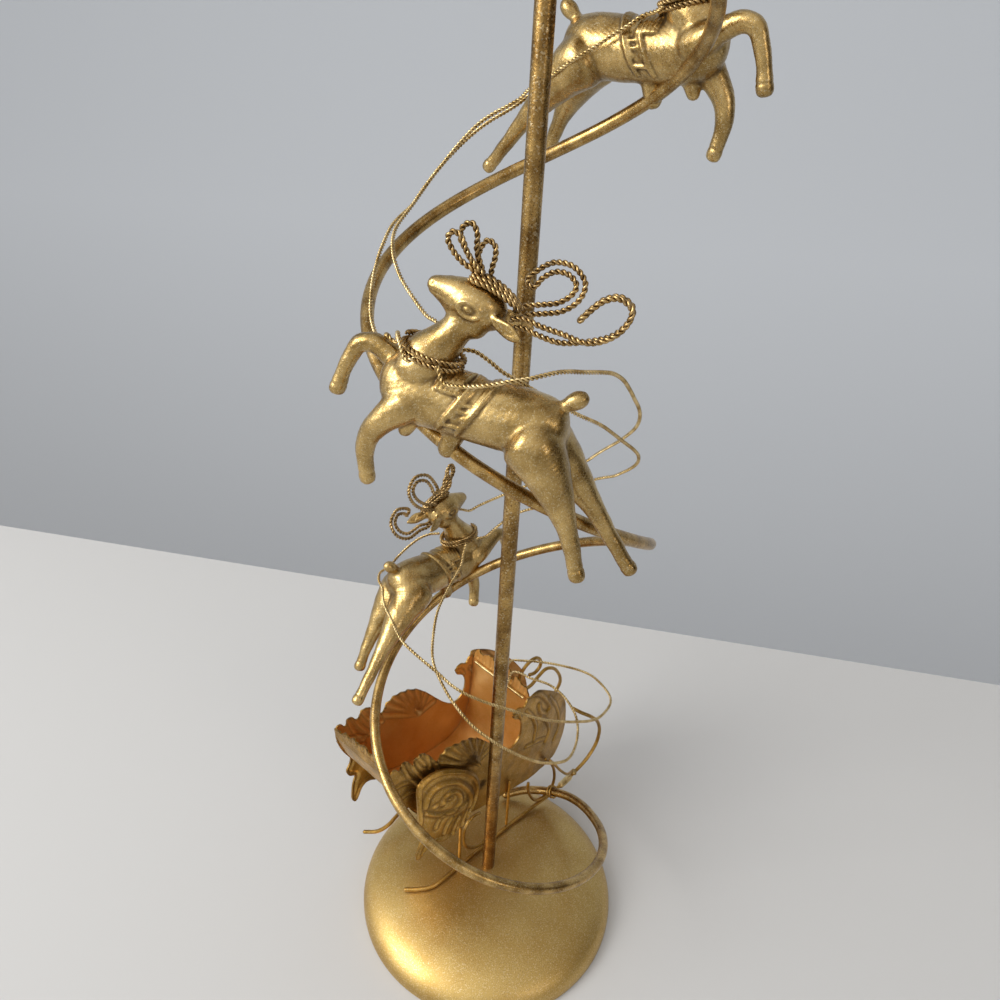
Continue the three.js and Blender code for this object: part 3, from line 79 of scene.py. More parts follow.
def placeCamera(settings):  # a camera at the place, with those directions as its axes
    right, under, away = cameraAxes(settings)
    data = bpy.data.cameras.new("photographView")
    data.sensor_width = settings["sensor"]
    data.lens = settings["focal"] * settings["sensor"]
    data.clip_start, data.clip_end = settings["clip"]
    camera = bpy.data.objects.new("photographView", data)
    bpy.context.collection.objects.link(camera)
    place = np.array(settings["place"]) / perMetre + rodAxis
    columns = np.column_stack([right, -under, -away, place])
    camera.matrix_world = Matrix([list(row) for row in columns] + [[0, 0, 0, 1]])
    bpy.context.scene.camera = camera


placeCamera(viewSettings)
print("camera placed")

# Materials


def linear(hexColour):  # an sRGB hex value as linear red, green, blue and alpha
    parts = [int(hexColour[i : i + 2], 16) / 255 for i in (1, 3, 5)]
    return [v / 12.92 if v <= 0.04045 else ((v + 0.055) / 1.055) ** 2.4 for v in parts] + [1.0]


def addNode(tree, kind, inputs=None, **settings):  # a node with its settings, values and links
    node = tree.nodes.new("ShaderNode" + kind)
    for key, value in settings.items():
        setattr(node, key, value)
    for key, value in (inputs or {}).items():
        if isinstance(value, bpy.types.NodeSocket):
            tree.links.new(value, node.inputs[key])
        else:
            node.inputs[key].default_value = value
    return node


def startMaterial(name):  # a material whose node tree is empty
    material = bpy.data.materials.new(name)
    material.use_nodes = True
    material.node_tree.nodes.clear()
    return material, material.node_tree


# Gold lacquer: bronze powder in clear lacquer, sprayed on. It shines like metal but softly, with
# fine bright and dark grains, and dark brown painted shade in the recesses. The colour starts deep,
# and each layer mixes its own colour in by a share that follows one value over a range.
def goldLacquer(name, settings):
    material, tree = startMaterial(name)
    place = addNode(tree, "TexCoord").outputs["Object"]
    clouds = []
    for size, detail in ((settings["mottle"], 3.0), (settings["grain"], 1.0)):
        inputs = {"Vector": place, "Scale": perMetre / size, "Detail": detail}
        clouds.append(addNode(tree, "TexNoise", inputs).outputs[0])
    mottle, grain = clouds
    inputs = {"Vector": place, "Scale": perMetre / settings["flake"]}
    flakes = addNode(tree, "TexVoronoi", inputs).outputs["Color"]
    flake = addNode(tree, "SeparateColor", {0: flakes}).outputs[0]
    recess = addNode(tree, "Attribute", attribute_name="recess").outputs["Fac"]
    height = addNode(tree, "SeparateXYZ", {0: place}).outputs[2]
    # Painted shade from the recess values, ragged by the mottle; on the sheets it also holds the
    # browned joints and darker edges
    inputs = {0: mottle, 1: settings["raggedMottle"], 2: recess}
    shadeAndMarksMask = addNode(tree, "Math", inputs, operation="MULTIPLY_ADD").outputs[0]
    footShadeRange = [level / perMetre for level in settings["footShadeRange"]]
    layers = [  # value, its range, the layer's share at the range's ends, and its colour
        (mottle, settings["mottleRange"], (0.0, 1.0), "light"),
        (flake, settings["flakeRange"], (0.0, settings["sparkle"]), "flakeColour"),
        (grain, settings["speckRange"], (0.0, settings["speck"]), "shadeAndDarkMarks"),
        # the dark brown is mixed in here as painted shade, and as the sheets' burn and dark edge marks
        (shadeAndMarksMask, settings["shadeAndMarksRange"], (0.0, settings["shadeAndMarksShare"]), "shadeAndDarkMarks"),
        # painted shade: darker and redder towards the bottom
        (height, footShadeRange, (settings["footShadeShare"], 0.0), "foot"),
    ]
    colour = linear(settings["deep"])
    for value, (low, high), (first, last), tint in layers:
        inputs = {"Value": value, "From Min": low, "From Max": high}
        inputs |= {"To Min": first, "To Max": last}
        share = addNode(tree, "MapRange", inputs).outputs[0]
        inputs = {0: share, 6: colour, 7: linear(settings[tint])}
        colour = addNode(tree, "Mix", inputs, data_type="RGBA").outputs[2]
    low, high = settings["grainRange"]
    smoothest, roughest = (settings["rough"] + change for change in settings["roughSpread"])
    inputs = {"Value": grain, "From Min": low, "From Max": high}
    inputs |= {"To Min": smoothest, "To Max": roughest}
    powder = addNode(tree, "MapRange", inputs).outputs[0]
    inputs = {0: recess, 1: settings["recessRough"], 2: powder}
    rougher = addNode(tree, "Math", inputs, operation="MULTIPLY_ADD").outputs[0]
    inputs = {0: flake, 1: settings["flakeHeight"], 2: grain}
    raised = addNode(tree, "Math", inputs, operation="MULTIPLY_ADD").outputs[0]
    grainDepth = settings["grain"] * settings["grainDepth"] / perMetre
    inputs = {"Height": raised, "Strength": settings["bump"], "Distance": grainDepth}
    bump = addNode(tree, "Bump", inputs).outputs[0]
    values = {"Base Color": colour, "Roughness": rougher, "Normal": bump}
    values["Metallic"] = settings["metallic"]
    values.update({"Coat Weight": settings["coat"], "Coat Roughness": settings["coatRough"]})
    shader = addNode(tree, "BsdfPrincipled", values)
    addNode(tree, "OutputMaterial", {"Surface": shader.outputs[0]})
    return material


goldSettings = {
    "light": "#C8A96C",
    "deep": "#977A44",
    "shadeAndDarkMarks": "#341C08",
    "flakeColour": "#FFF3D0",
    "mottle": 9.0,  # mm across a patch of the sprayed coat
    "mottleRange": (0.36, 0.64),
    "grain": 0.42,  # mm; the powder is finer, and drawn as coarse as the picture shows it
    "grainRange": (0.3, 0.7),
    "grainDepth": 0.25,  # shares of the grain's size
    "flake": 0.3,  # mm across a bright flake
    "flakeRange": (0.8, 1.0),
    "flakeHeight": 0.4,
    "sparkle": 0.3,
    "speck": 0.25,
    "speckRange": (0.56, 0.72),
    "shadeAndMarksShare": 0.8,
    "raggedMottle": 0.35,  # how ragged the painted shade's edge is
    "shadeAndMarksRange": (0.3, 1.05),
    "rough": 0.29,
    "roughSpread": (-0.07, 0.1),
    "recessRough": 0.2,
    "bump": 0.25,
    "metallic": 1.0,
    "coat": 0.25,
    "coatRough": 0.2,
    "foot": "#6A3A1A",
    "footShadeRange": (20, 110),  # mm above the table
    "footShadeShare": 0.0,
}
castGold = goldLacquer("gold lacquer on cast metal", goldSettings)
spunGold = goldLacquer(
    "gold lacquer on spun steel",
    {
        **goldSettings, "light": "#C9A965", "deep": "#BC9955",
        "rough": 0.4, "mottle": 24.0, "bump": 0.6, "sparkle": 0.4,
    },
)
# The rod's coat is rubbed: dark specks all the way up, and painted reddish-brown shade towards its foot
rodGold = goldLacquer(
    "gold lacquer on steel rod",
    {
        **goldSettings, "light": "#B8965A", "deep": "#7E6032",
        "speck": 0.7, "grain": 0.6, "flake": 0.55, "coat": 0.08, "footShadeShare": 0.6,
    },
)
spiralGold = goldLacquer(
    "gold lacquer on bent steel wire",
    {**goldSettings, "light": "#C4A264", "deep": "#8D6D38", "coat": 0.08, "speck": 0.45, "mottle": 6.0},
)
wireGold = goldLacquer(
    "gold lacquer on twisted wire",
    {**goldSettings, "light": "#E4CA92", "deep": "#AE9056", "speck": 0.15, "mottle": 5.0},
)
antlerGold = goldLacquer(
    "antiqued gold lacquer on twisted wire",
    {**goldSettings, "light": "#C4A46C", "deep": "#866A3C", "speck": 0.35, "mottle": 4.0},
)
sheetGold = goldLacquer(
    "gold lacquer on stamped sheet",
    {
        **goldSettings, "light": "#C89C4E", "deep": "#9A742E",
        "coat": 0.1, "speck": 0.3, "rough": 0.38, "shadeAndMarksShare": 0.85,
    },
)
# Copper lacquer: the same powder paint in an orange copper tone, smooth inside the sleigh
copperLacquer = goldLacquer(
    "copper lacquer on sheet",
    {
        **goldSettings, "light": "#E0AA5E", "deep": "#D29846", "shadeAndDarkMarks": "#5A3210",
        "flakeColour": "#FFD9A8", "mottle": 14.0, "sparkle": 0.2, "speck": 0.12,
        "rough": 0.42, "bump": 0.15, "metallic": 0.6,
    },
)

# Zinc plated steel: dull grey, evenly bright, with faint cloudy patches
zincSettings = {
    "dark": "#8B8C8A",
    "light": "#A9AAA6",
    "patch": 2.5,  # mm
    "patchRange": (0.3, 0.7),
    "rough": (0.32, 0.48),
    "bump": 0.1,
    "depth": 0.1,  # mm
}


def zincPlate(name, settings):  # one cloudy pattern drives colour, roughness and height
    material, tree = startMaterial(name)
    place = addNode(tree, "TexCoord").outputs["Object"]
    inputs = {"Vector": place, "Scale": perMetre / settings["patch"], "Detail": 4.0}
    cloud = addNode(tree, "TexNoise", inputs).outputs[0]
    inputs = {0: cloud, 6: linear(settings["dark"]), 7: linear(settings["light"])}
    colour = addNode(tree, "Mix", inputs, data_type="RGBA").outputs[2]
    (low, high), (smoothest, roughest) = settings["patchRange"], settings["rough"]
    inputs = {"Value": cloud, "From Min": low, "From Max": high}
    inputs |= {"To Min": smoothest, "To Max": roughest}
    rough = addNode(tree, "MapRange", inputs).outputs[0]
    depth = settings["depth"] / perMetre
    inputs = {"Height": cloud, "Strength": settings["bump"], "Distance": depth}
    bump = addNode(tree, "Bump", inputs).outputs[0]
    values = {"Base Color": colour, "Roughness": rough, "Normal": bump, "Metallic": 1.0}
    shader = addNode(tree, "BsdfPrincipled", values)
    addNode(tree, "OutputMaterial", {"Surface": shader.outputs[0]})
    return material


zincSteel = zincPlate("zinc plated steel", zincSettings)
print("materials made")

# Shapes worked out on grids

splineSteps = 12  # places between two rows of a route before it is cut into even steps
anySide = (0.31, 0.17, 0.93)  # a direction that no route starts along
sameMetres = 2e-6  # points closer than this are one
sameMillimetres = 1e-4


def unit(vectors):  # each vector over its own length
    return vectors / np.maximum(np.linalg.norm(vectors, axis=-1, keepdims=True), 1e-9)


# Four-sided faces of a grid of points
def gridFaces(rows, columns, wrapRows=False, wrapColumns=True):
    i = np.arange(rows if wrapRows else rows - 1)[:, None]
    j = np.arange(columns if wrapColumns else columns - 1)[None]
    ni, nj = (i + 1) % rows, (j + 1) % columns
    corners = [i * columns + j, i * columns + nj, ni * columns + nj, ni * columns + j]
    return np.stack(np.broadcast_arrays(*corners), -1).reshape(-1, 4)


def joined(shapes):  # several shapes of points, faces and perhaps recess values as one
    faces, count = [], 0
    for shape in shapes:
        faces.append(shape[1] + count)
        count += len(shape[0])
    rest = [np.concatenate(values) for values in zip(*[shape[2:] for shape in shapes])]
    return (np.vstack([shape[0] for shape in shapes]), np.vstack(faces), *rest)


# A centripetal spline through the rows' places: between two of them a cubic, whose end slopes
# come from the neighbours over the square roots of the distances. Then even steps along it.
def smoothLine(rows, spacing):
    p = np.asarray(rows, float)
    ends = np.vstack([2 * p[0] - p[1], p, 2 * p[-1] - p[-2]])
    span = np.linalg.norm(np.diff(ends[:, :3], axis=0), axis=1)
    span = np.sqrt(np.maximum(span, 1e-6))[:, None, None]
    p0, p1, p2, p3 = ends[:-3, None], ends[1:-2, None], ends[2:-1, None], ends[3:, None]
    d0, d1, d2 = span[:-2], span[1:-1], span[2:]
    slope1 = ((p1 - p0) / d0 - (p2 - p0) / (d0 + d1) + (p2 - p1) / d1) * d1
    slope2 = ((p2 - p1) / d1 - (p3 - p1) / (d1 + d2) + (p3 - p2) / d2) * d1
    t = np.linspace(0, 1, splineSteps, endpoint=False)[None, :, None]
    square = 3 * (p2 - p1) - 2 * slope1 - slope2
    cube = 2 * (p1 - p2) + slope1 + slope2
    line = p1 + slope1 * t + square * t**2 + cube * t**3
    line = np.vstack([line.reshape(-1, p.shape[1]), p[-1]])
    way = np.concatenate([[0], np.cumsum(np.linalg.norm(np.diff(line[:, :3], axis=0), axis=1))])
    even = np.linspace(0, way[-1], max(3, int(round(way[-1] / spacing)) + 1))
    return np.column_stack([np.interp(even, way, line[:, k]) for k in range(p.shape[1])]), even


# Directions along and across a line, carried on without a twist: each side direction is the
# last one less its part along the new direction.
def carriedAxes(line):
    along = unit(np.gradient(line, axis=0))
    side = np.cross(along[0], anySide)
    across = np.empty_like(line)
    for i, direction in enumerate(along):
        side = side - direction * side.dot(direction)
        side = side / np.linalg.norm(side)
        across[i] = side
    return along, across, np.cross(along, across)


# Ovals across a line, closed to a point at each end: place + radius x (flat x cosine x across +
# sine x over)
def tube(line, radii, sides, flat=1.0):
    along, across, over = carriedAxes(line)
    angle = fullTurn * np.arange(sides) / sides
    turn = angle[None, :, None]
    ring = flat * np.cos(turn) * across[:, None] + np.sin(turn) * over[:, None]
    radii = np.broadcast_to(radii, len(line))
    shell = line[:, None] + ring * radii[:, None, None]
    tips = [np.repeat(line[k][None, None], sides, 1) for k in (0, -1)]
    grid = np.concatenate([tips[0], shell, tips[1]])
    return grid.reshape(-1, 3), gridFaces(len(line) + 2, sides)


# A tube with half-round ends: near an end the radius is that of a circle at the distance left
def roundedTube(line, way, radius, sides):
    rest = np.minimum(way, way[-1] - way)
    share = np.clip(1 - rest / radius, 0, 1)
    return tube(line, radius * np.sqrt(np.maximum(1 - share**2, wireSettings["tip"])), sides)


wireSettings = {
    "strands": 2,
    "sides": 8,
    "tip": 0.02,  # square of the end's radius, as a share
    "grooveFrom": 0.72,  # strands out from the middle, where the painted shade between the strands begins
    "grooveShare": 1.6,
}


# Strands that wind round the line through the rows: each lies half a strand from the line, at an
# angle that grows by a full turn for each pitch. The painted shade between the strands grows towards
# the middle.
def strandedWire(rows, settings):
    line, way = smoothLine(rows, settings["pitch"] / settings["stepsPerPitch"])
    along, across, over = carriedAxes(line)
    shapes = []
    for k in range(settings["strands"]):
        angle = fullTurn * (way / settings["pitch"] + k / settings["strands"])
        lean = np.cos(angle)[:, None] * across + np.sin(angle)[:, None] * over
        strand = line + lean * settings["strand"] / 2
        points, faces = roundedTube(strand, way, settings["strand"] / 2, settings["sides"])
        centre = np.vstack([line[:1], line, line[-1:]]).repeat(settings["sides"], axis=0)
        out = np.linalg.norm(points - centre, axis=1) / settings["strand"]
        depth = (1 - out / settings["grooveFrom"]) * settings["grooveShare"]
        shapes.append((points, faces, np.clip(depth, 0, 1)))
    return joined(shapes)


def turned(profile, segments):  # a closed profile of (radius, height) turned about the rod's axis
    profile = np.asarray(profile, float)
    angle = fullTurn * np.arange(segments) / segments
    x = profile[:, :1] * np.cos(angle)
    y = profile[:, :1] * np.sin(angle)
    z = np.repeat(profile[:, 1:], segments, 1)
    return np.stack([x, y, z], -1).reshape(-1, 3), gridFaces(len(profile), segments, wrapRows=True)


def makeMesh(name, points, faces, values=None, kinds=None):  # a mesh in the frame, faces outwards
    mesh = bpy.data.meshes.new(name)
    faces = np.asarray(faces)
    mesh.vertices.add(len(points))
    mesh.vertices.foreach_set("co", (points / perMetre + rodAxis).astype(np.float32).ravel())
    mesh.loops.add(faces.size)
    mesh.loops.foreach_set("vertex_index", faces.astype(np.int32).ravel())
    mesh.polygons.add(len(faces))
    mesh.polygons.foreach_set("loop_start", np.arange(0, faces.size, faces.shape[1], dtype=np.int32))
    if kinds is not None:
        mesh.polygons.foreach_set("material_index", kinds.astype(np.int32))
    mesh.update(calc_edges=True)
    if values is not None:
        recess = mesh.attributes.new("recess", "FLOAT", "POINT")
        recess.data.foreach_set("value", values.astype(np.float32))
    work = bmesh.new()
    work.from_mesh(mesh)
    bmesh.ops.remove_doubles(work, verts=work.verts, dist=sameMetres)
    bmesh.ops.recalc_face_normals(work, faces=work.faces)
    work.to_mesh(mesh)
    work.free()
    mesh.shade_smooth()
    return mesh


# A piece of the given shape that rides on the one body, in place of the nodes named
def addPiece(name, shape, materials, slot, *nodes, values=None, kinds=None, sharp=None):
    mesh = makeMesh(name, *shape, values=values, kinds=kinds)
    for material in materials if isinstance(materials, list) else [materials]:
        mesh.materials.append(material)
    if sharp:
        mesh.set_sharp_from_angle(angle=math.radians(sharp))
    piece = bpy.data.objects.new(name, mesh)
    bpy.context.collection.objects.link(piece)
    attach(piece, "root")
    if nodes:
        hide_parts(*nodes)
    return piece


# Domed base: a spun shell with a turned lip

baseSettings = {
    "radius": 61.4,
    "height": 18.5,
    "edge": 1.3,
    "sheet": 0.9,
    "lip": 2.4,
    "hole": 2.3,
    "roundness": 3.2,
    "unevenness": 0.12,
    "rings": 70,
    "crowding": 2.2,  # how much closer the rings stand at the edge
    "segments": 180,
}


# Edge height + (height - edge height) x root of (1 - share of the radius to a power)
def domeHeight(radius, settings, inside):
    reach = settings["radius"] - inside * settings["sheet"]
    top = settings["height"] - inside * settings["sheet"]
    share = np.clip(radius / reach, 0, 1)
    return settings["edge"] + (top - settings["edge"]) * np.sqrt(1 - share ** settings["roundness"])


# The dome's profile outside, round the rim, under the lip and inside, turned about the rod, and
# lowered by a slow wave where it isn't near the rim.
def baseShell(settings):
    share = 1 - np.linspace(1, 0, settings["rings"]) ** settings["crowding"]
    outer = settings["hole"] + (settings["radius"] - settings["hole"]) * share
    inner = settings["hole"] + (settings["radius"] - settings["sheet"] - settings["hole"]) * share
    angle = np.linspace(-0.15, 0.5, 6) * math.pi
    edge = settings["edge"] / 2
    turn = angle[::-1]
    rim = np.column_stack([settings["radius"] - edge + edge * np.cos(turn), edge + edge * np.sin(turn)])
    rim = rim[rim[:, 1] < settings["edge"] * 0.98]
    lip = settings["radius"] - settings["lip"]
    foot = [[settings["radius"] - edge, 0], [lip, 0], [lip, settings["edge"]]]
    top = np.column_stack([outer, domeHeight(outer, settings, 0)])
    under = np.column_stack([inner, domeHeight(inner, settings, 1)])[::-1]
    points, faces = turned(np.vstack([top, rim, foot, under])[::-1], settings["segments"])
    x, y = points[:, 0], points[:, 1]
    wave = np.sin(x / 9) * np.cos(y / 11) + np.sin((x + y) / 6.5)
    calm = np.clip((settings["radius"] - np.hypot(x, y)) / 12, 0, 1)
    points[:, 2] -= settings["unevenness"] * (1 + wave) / 3 * calm
    return points, faces


addPiece("spunBase", baseShell(baseSettings), spunGold, "gold_paint", "base_dome", sharp=50)

# Upright rod, with its two spigots

rodSettings = {
    "radius": 3.0,
    "spigot": 2.0,
    "bottom": 18.5,
    "top": 436.8,
    "lowEnd": 11.3,
    "highEnd": 444.1,
    "rings": 90,
    "segments": 48,
}


def uprightRod(settings):  # a profile of spigot, barrel and spigot, turned about the axis
    radius, spigot = settings["radius"], settings["spigot"]
    heights = np.linspace(settings["bottom"], settings["top"], settings["rings"])
    barrel = np.column_stack([np.full(settings["rings"], radius), heights])
    low = [[0, settings["lowEnd"]], [spigot, settings["lowEnd"]], [spigot, settings["bottom"]]]
    high = [[spigot, settings["top"]], [spigot, settings["highEnd"]], [0, settings["highEnd"]]]
    return turned(np.vstack([low, barrel, high]), settings["segments"])


addPiece("uprightRod", uprightRod(rodSettings), rodGold, "gold_paint", "centre_rod", sharp=50)

# Drip pan and candle cup

cupSettings = {
    "segments": 120,
    "sharp": 40,  # degrees past which an edge stays crisp
    "pan": [  # radius and height
        (2.3, 437.1), (13, 437.1), (21.1, 438.64), (27.4, 441.3), (29.9, 443.0), (31, 443.0),
        (31.55, 443.55), (31, 444.1), (29.9, 444.1), (27.0, 442.1), (20.7, 439.44), (13, 437.9),
        (2.3, 437.9),
    ],
    "cup": [
        (2.3, 438.2), (8.8, 438.2), (11.5, 440.0), (12.25, 443.4), (12.25, 462.9), (13.35, 464.37),
        (14.45, 465.1), (13.55, 465.55), (12.1, 464.4), (11.35, 462.9), (11.35, 443.4),
        (10.7, 440.7), (8.5, 439.1), (2.3, 439.1),
    ],
}
for name, profile, node in (("dripPan", "pan", "drip_pan"), ("candleCup", "cup", "candle_cup")):
    shape = turned(cupSettings[profile], cupSettings["segments"])
    addPiece(name, shape, spunGold, "gold_paint", node, sharp=cupSettings["sharp"])
print("base, rod, pan and cup made")

# Spiral rod: one bent wire

spiralSettings = {
    "wire": 4.3,
    "radius": 53.4,
    "rise": 426.0,
    "sides": 24,
    "spacing": 1.2,
    "places": 136,
}
spiralRows = np.array(  # turns, share of the radius, share of the rise
    [
        (0.0194, 0.7772, 0.0433), (0.0333, 0.8277, 0.043), (0.05, 0.8745, 0.0467),
        (0.0833, 0.9551, 0.0502), (0.1167, 0.9925, 0.061), (0.1472, 1.0056, 0.0714),
        (0.2056, 1.0019, 0.0897), (0.2639, 0.9987, 0.1127), (0.3333, 0.9968, 0.1384),
        (0.4028, 0.9945, 0.1638), (0.4722, 0.9918, 0.1892), (0.5417, 0.9887, 0.2146),
        (0.6111, 0.9852, 0.24), (0.6806, 0.9813, 0.2656), (0.75, 0.9771, 0.2916),
        (0.8194, 0.9726, 0.3179), (0.8889, 0.9679, 0.3447), (0.9583, 0.9633, 0.372),
        (1.0278, 0.959, 0.4001), (1.0972, 0.9551, 0.429), (1.1667, 0.9519, 0.4588),
        (1.2361, 0.9492, 0.4892), (1.3056, 0.9467, 0.5198), (1.375, 0.9443, 0.5502),
        (1.4444, 0.9415, 0.5798), (1.5139, 0.9381, 0.6083), (1.5833, 0.9339, 0.6354),
        (1.6528, 0.9289, 0.6612), (1.7222, 0.9231, 0.6862), (1.7917, 0.9164, 0.7105),
        (1.8611, 0.9089, 0.7346), (1.9306, 0.9005, 0.7586), (2, 0.8912, 0.7829),
        (2.0694, 0.8811, 0.8078), (2.1389, 0.87, 0.8335), (2.2083, 0.8581, 0.8604),
        (2.3111, 0.8165, 0.8991), (2.375, 0.7491, 0.9225), (2.4389, 0.6461, 0.9448),
        (2.5, 0.515, 0.9648), (2.5556, 0.3652, 0.9812), (2.6056, 0.2285, 0.993),
        (2.6556, 0.1348, 0.9991), (2.7083, 0.103, 1.0014),
    ]
)


# The radius and height at each turn come from the rows; across is radius x sine, and back is
# radius x cosine of the turns.
def spiralRod(settings):
    turns = np.linspace(spiralRows[0, 0], spiralRows[-1, 0], settings["places"])
    radius = settings["radius"] * np.interp(turns, spiralRows[:, 0], spiralRows[:, 1])
    height = settings["rise"] * np.interp(turns, spiralRows[:, 0], spiralRows[:, 2])
    angle = fullTurn * turns
    places = np.column_stack([radius * np.sin(angle), radius * np.cos(angle), height])
    line, way = smoothLine(places, settings["spacing"])
    return roundedTube(line, way, settings["wire"] / 2, settings["sides"])


addPiece("spiralRod", spiralRod(spiralSettings), spiralGold, "gold_paint", "spiral_rod")

# Reindeer: one casting, used three times. Its own frame has X forwards, Y to the left and Z up.

deerSettings = {
    "length": 50.0,  # the tables' unit
    "voxel": 0.36,
    "bodySmoothings": 22,
    "smoothings": 2,
    "earFlat": 0.5,
    "unevenness": 0.06,
    "sides": 28,
    "torsoSides": 48,
    "spacing": 0.7,  # mm between the rings of a limb
    "blunt": 0.97,  # how far a limb's start closes
    "coat": 0.04,  # mm that the paint stands out
    "recessReach": 10,  # steps of the mesh over which a hollow is judged
    "recessDepth": 0.2,  # mm of hollow at which the painted shade is full
    "underside": (0.3, 0.3),  # downward slope where the shade starts, and its strength
}
torsoRows = [  # X, middle height, half height and half width, in lengths
    (-0.62, 0.272, 0.044, 0.044), (-0.592, 0.272, 0.124, 0.112), (-0.52, 0.278, 0.168, 0.156),
    (-0.4, 0.278, 0.184, 0.176), (-0.24, 0.26, 0.184, 0.168), (-0.08, 0.246, 0.176, 0.16),
    (0.08, 0.238, 0.178, 0.162), (0.22, 0.242, 0.18, 0.162), (0.34, 0.254, 0.164, 0.144),
    (0.42, 0.264, 0.116, 0.1), (0.456, 0.268, 0.048, 0.042),
]
limbRows = {  # X, Y, Z and radius, in lengths
    "neck": [
        (0.3, 0, 0.24, 0.165), (0.25, 0, 0.38, 0.152),
        (0.206, 0, 0.47, 0.142), (0.168, 0, 0.54, 0.112),
        (0.116, 0, 0.632, 0.09), (0.068, 0, 0.73, 0.088), (0.052, 0, 0.78, 0.072),
    ],
    "head": [
        (-0.132, 0, 0.76, 0.024), (-0.108, 0, 0.764, 0.064), (-0.044, 0, 0.778, 0.098),
        (0.032, 0, 0.796, 0.114), (0.108, 0, 0.808, 0.106), (0.188, 0, 0.818, 0.08),
        (0.26, 0, 0.822, 0.056), (0.3, 0, 0.822, 0.044), (0.318, 0, 0.822, 0.024),
    ],
    "jaw": [
        (-0.05, 0, 0.72, 0.05), (-0.005, 0, 0.708, 0.084),
        (0.055, 0, 0.712, 0.088), (0.12, 0, 0.735, 0.068),
        (0.2, 0, 0.775, 0.046), (0.27, 0, 0.8, 0.034),
    ],
    "leftForeleg": [
        (0.2, 0.085, 0.26, 0.1), (0.29, 0.104, 0.15, 0.098), (0.375, 0.112, 0.035, 0.078),
        (0.428, 0.103, -0.08, 0.062), (0.43, 0.092, -0.19, 0.054), (0.405, 0.081, -0.29, 0.048),
        (0.392, 0.077, -0.335, 0.052), (0.379, 0.074, -0.368, 0.044), (0.376, 0.073, -0.376, 0.028),
    ],
    "rightForeleg": [
        (0.2, -0.085, 0.25, 0.1), (0.33, -0.11, 0.288, 0.094), (0.46, -0.118, 0.34, 0.07),
        (0.576, -0.116, 0.374, 0.058), (0.65, -0.114, 0.348, 0.054), (0.692, -0.112, 0.26, 0.049),
        (0.722, -0.11, 0.14, 0.045), (0.735, -0.11, 0.06, 0.051),
        (0.741, -0.11, 0.014, 0.044), (0.742, -0.11, 0.004, 0.028),
    ],
    "leftHindLeg": [
        (-0.34, 0.06, 0.26, 0.12), (-0.42, 0.08, 0.225, 0.166), (-0.49, 0.093, 0.18, 0.164),
        (-0.588, 0.112, 0.085, 0.132), (-0.695, 0.134, -0.04, 0.09), (-0.775, 0.151, -0.145, 0.063),
        (-0.848, 0.167, -0.26, 0.051), (-0.905, 0.178, -0.365, 0.047), (-0.925, 0.182, -0.4, 0.051),
        (-0.942, 0.185, -0.43, 0.045), (-0.946, 0.186, -0.438, 0.03),
    ],
    "rightHindLeg": [
        (-0.34, -0.06, 0.26, 0.12), (-0.42, -0.08, 0.225, 0.164), (-0.5, -0.094, 0.185, 0.16),
        (-0.63, -0.108, 0.095, 0.128), (-0.78, -0.122, -0.03, 0.088), (-0.9, -0.132, -0.135, 0.062),
        (-1.03, -0.144, -0.262, 0.051), (-1.175, -0.152, -0.4, 0.047),
        (-1.205, -0.154, -0.428, 0.051),
        (-1.235, -0.156, -0.455, 0.045), (-1.243, -0.156, -0.462, 0.03),
    ],
    "tail": [
        (-0.5, 0, 0.39, 0.03), (-0.548, 0, 0.435, 0.034), (-0.595, 0, 0.48, 0.052),
        (-0.635, 0, 0.515, 0.045), (-0.656, 0, 0.536, 0.022),
    ],
    "rearLug": [
        (-0.028, 0.008, 0.12, 0.068), (-0.012, 0.008, 0.02, 0.062), (0, 0.008, -0.052, 0.052),
        (0.004, 0.008, -0.076, 0.028),
    ],
    "frontLug": [
        (0.212, 0.028, 0.12, 0.06), (0.24, 0.032, 0.032, 0.048), (0.256, 0.034, -0.016, 0.038),
        (0.26, 0.034, -0.032, 0.018),
    ],
}
earRows = [
    (-0.05, 0.07, 0.772, 0.03), (-0.11, 0.098, 0.764, 0.044), (-0.172, 0.124, 0.75, 0.05),
    (-0.228, 0.144, 0.736, 0.036), (-0.27, 0.156, 0.724, 0.012),
]
harnessSettings = {
    "bands": [  # X where a band crosses the back, its radius, and how far round it reaches
        (-3.6, 0.7, 2.35), (-4.9, 0.36, 1.7), (-7.9, 0.36, 1.7), (-9.2, 0.7, 2.35),
    ],
    "rungs": [(1.2, 0.45), (1.42, 0.4), (1.98, 0.6)],  # angle from the back, and radius
    "lean": 3.9,
    "bandLift": 0.15,
    "bandSides": 12,
    "bandPlaces": 60,
    "rungLift": 0.1,
    "rungSides": 10,
    "rungPlaces": 12,
    "ropes": (-1.4, 4.2, 5),  # X of the first and last ridge of the cast cord, and their number
    "ropeBow": 1.6,
    "ropeLift": 0.25,
    "ropeRadius": 0.7,
    "ropeReach": 1.0,  # how far round it goes on both sides
    "ropeSides": 10,
    "ropePlaces": 24,
}
eyeSettings = {  # an almond with a raised rim on each side of the head
    "x": 2.6,
    "z": 38.9,
    "lean": 8,  # degrees
    "long": 3.1,
    "tall": 2.0,
    "from": 3.0,
    "ridge": 0.42,
    "ridgeWidth": 0.24,
    "pit": 0.45,
    "pitReach": 0.75,
    "pupil": 0.6,
    "pupilReach": (0.3, 0.4),
    "pupilForward": 0.12,
}
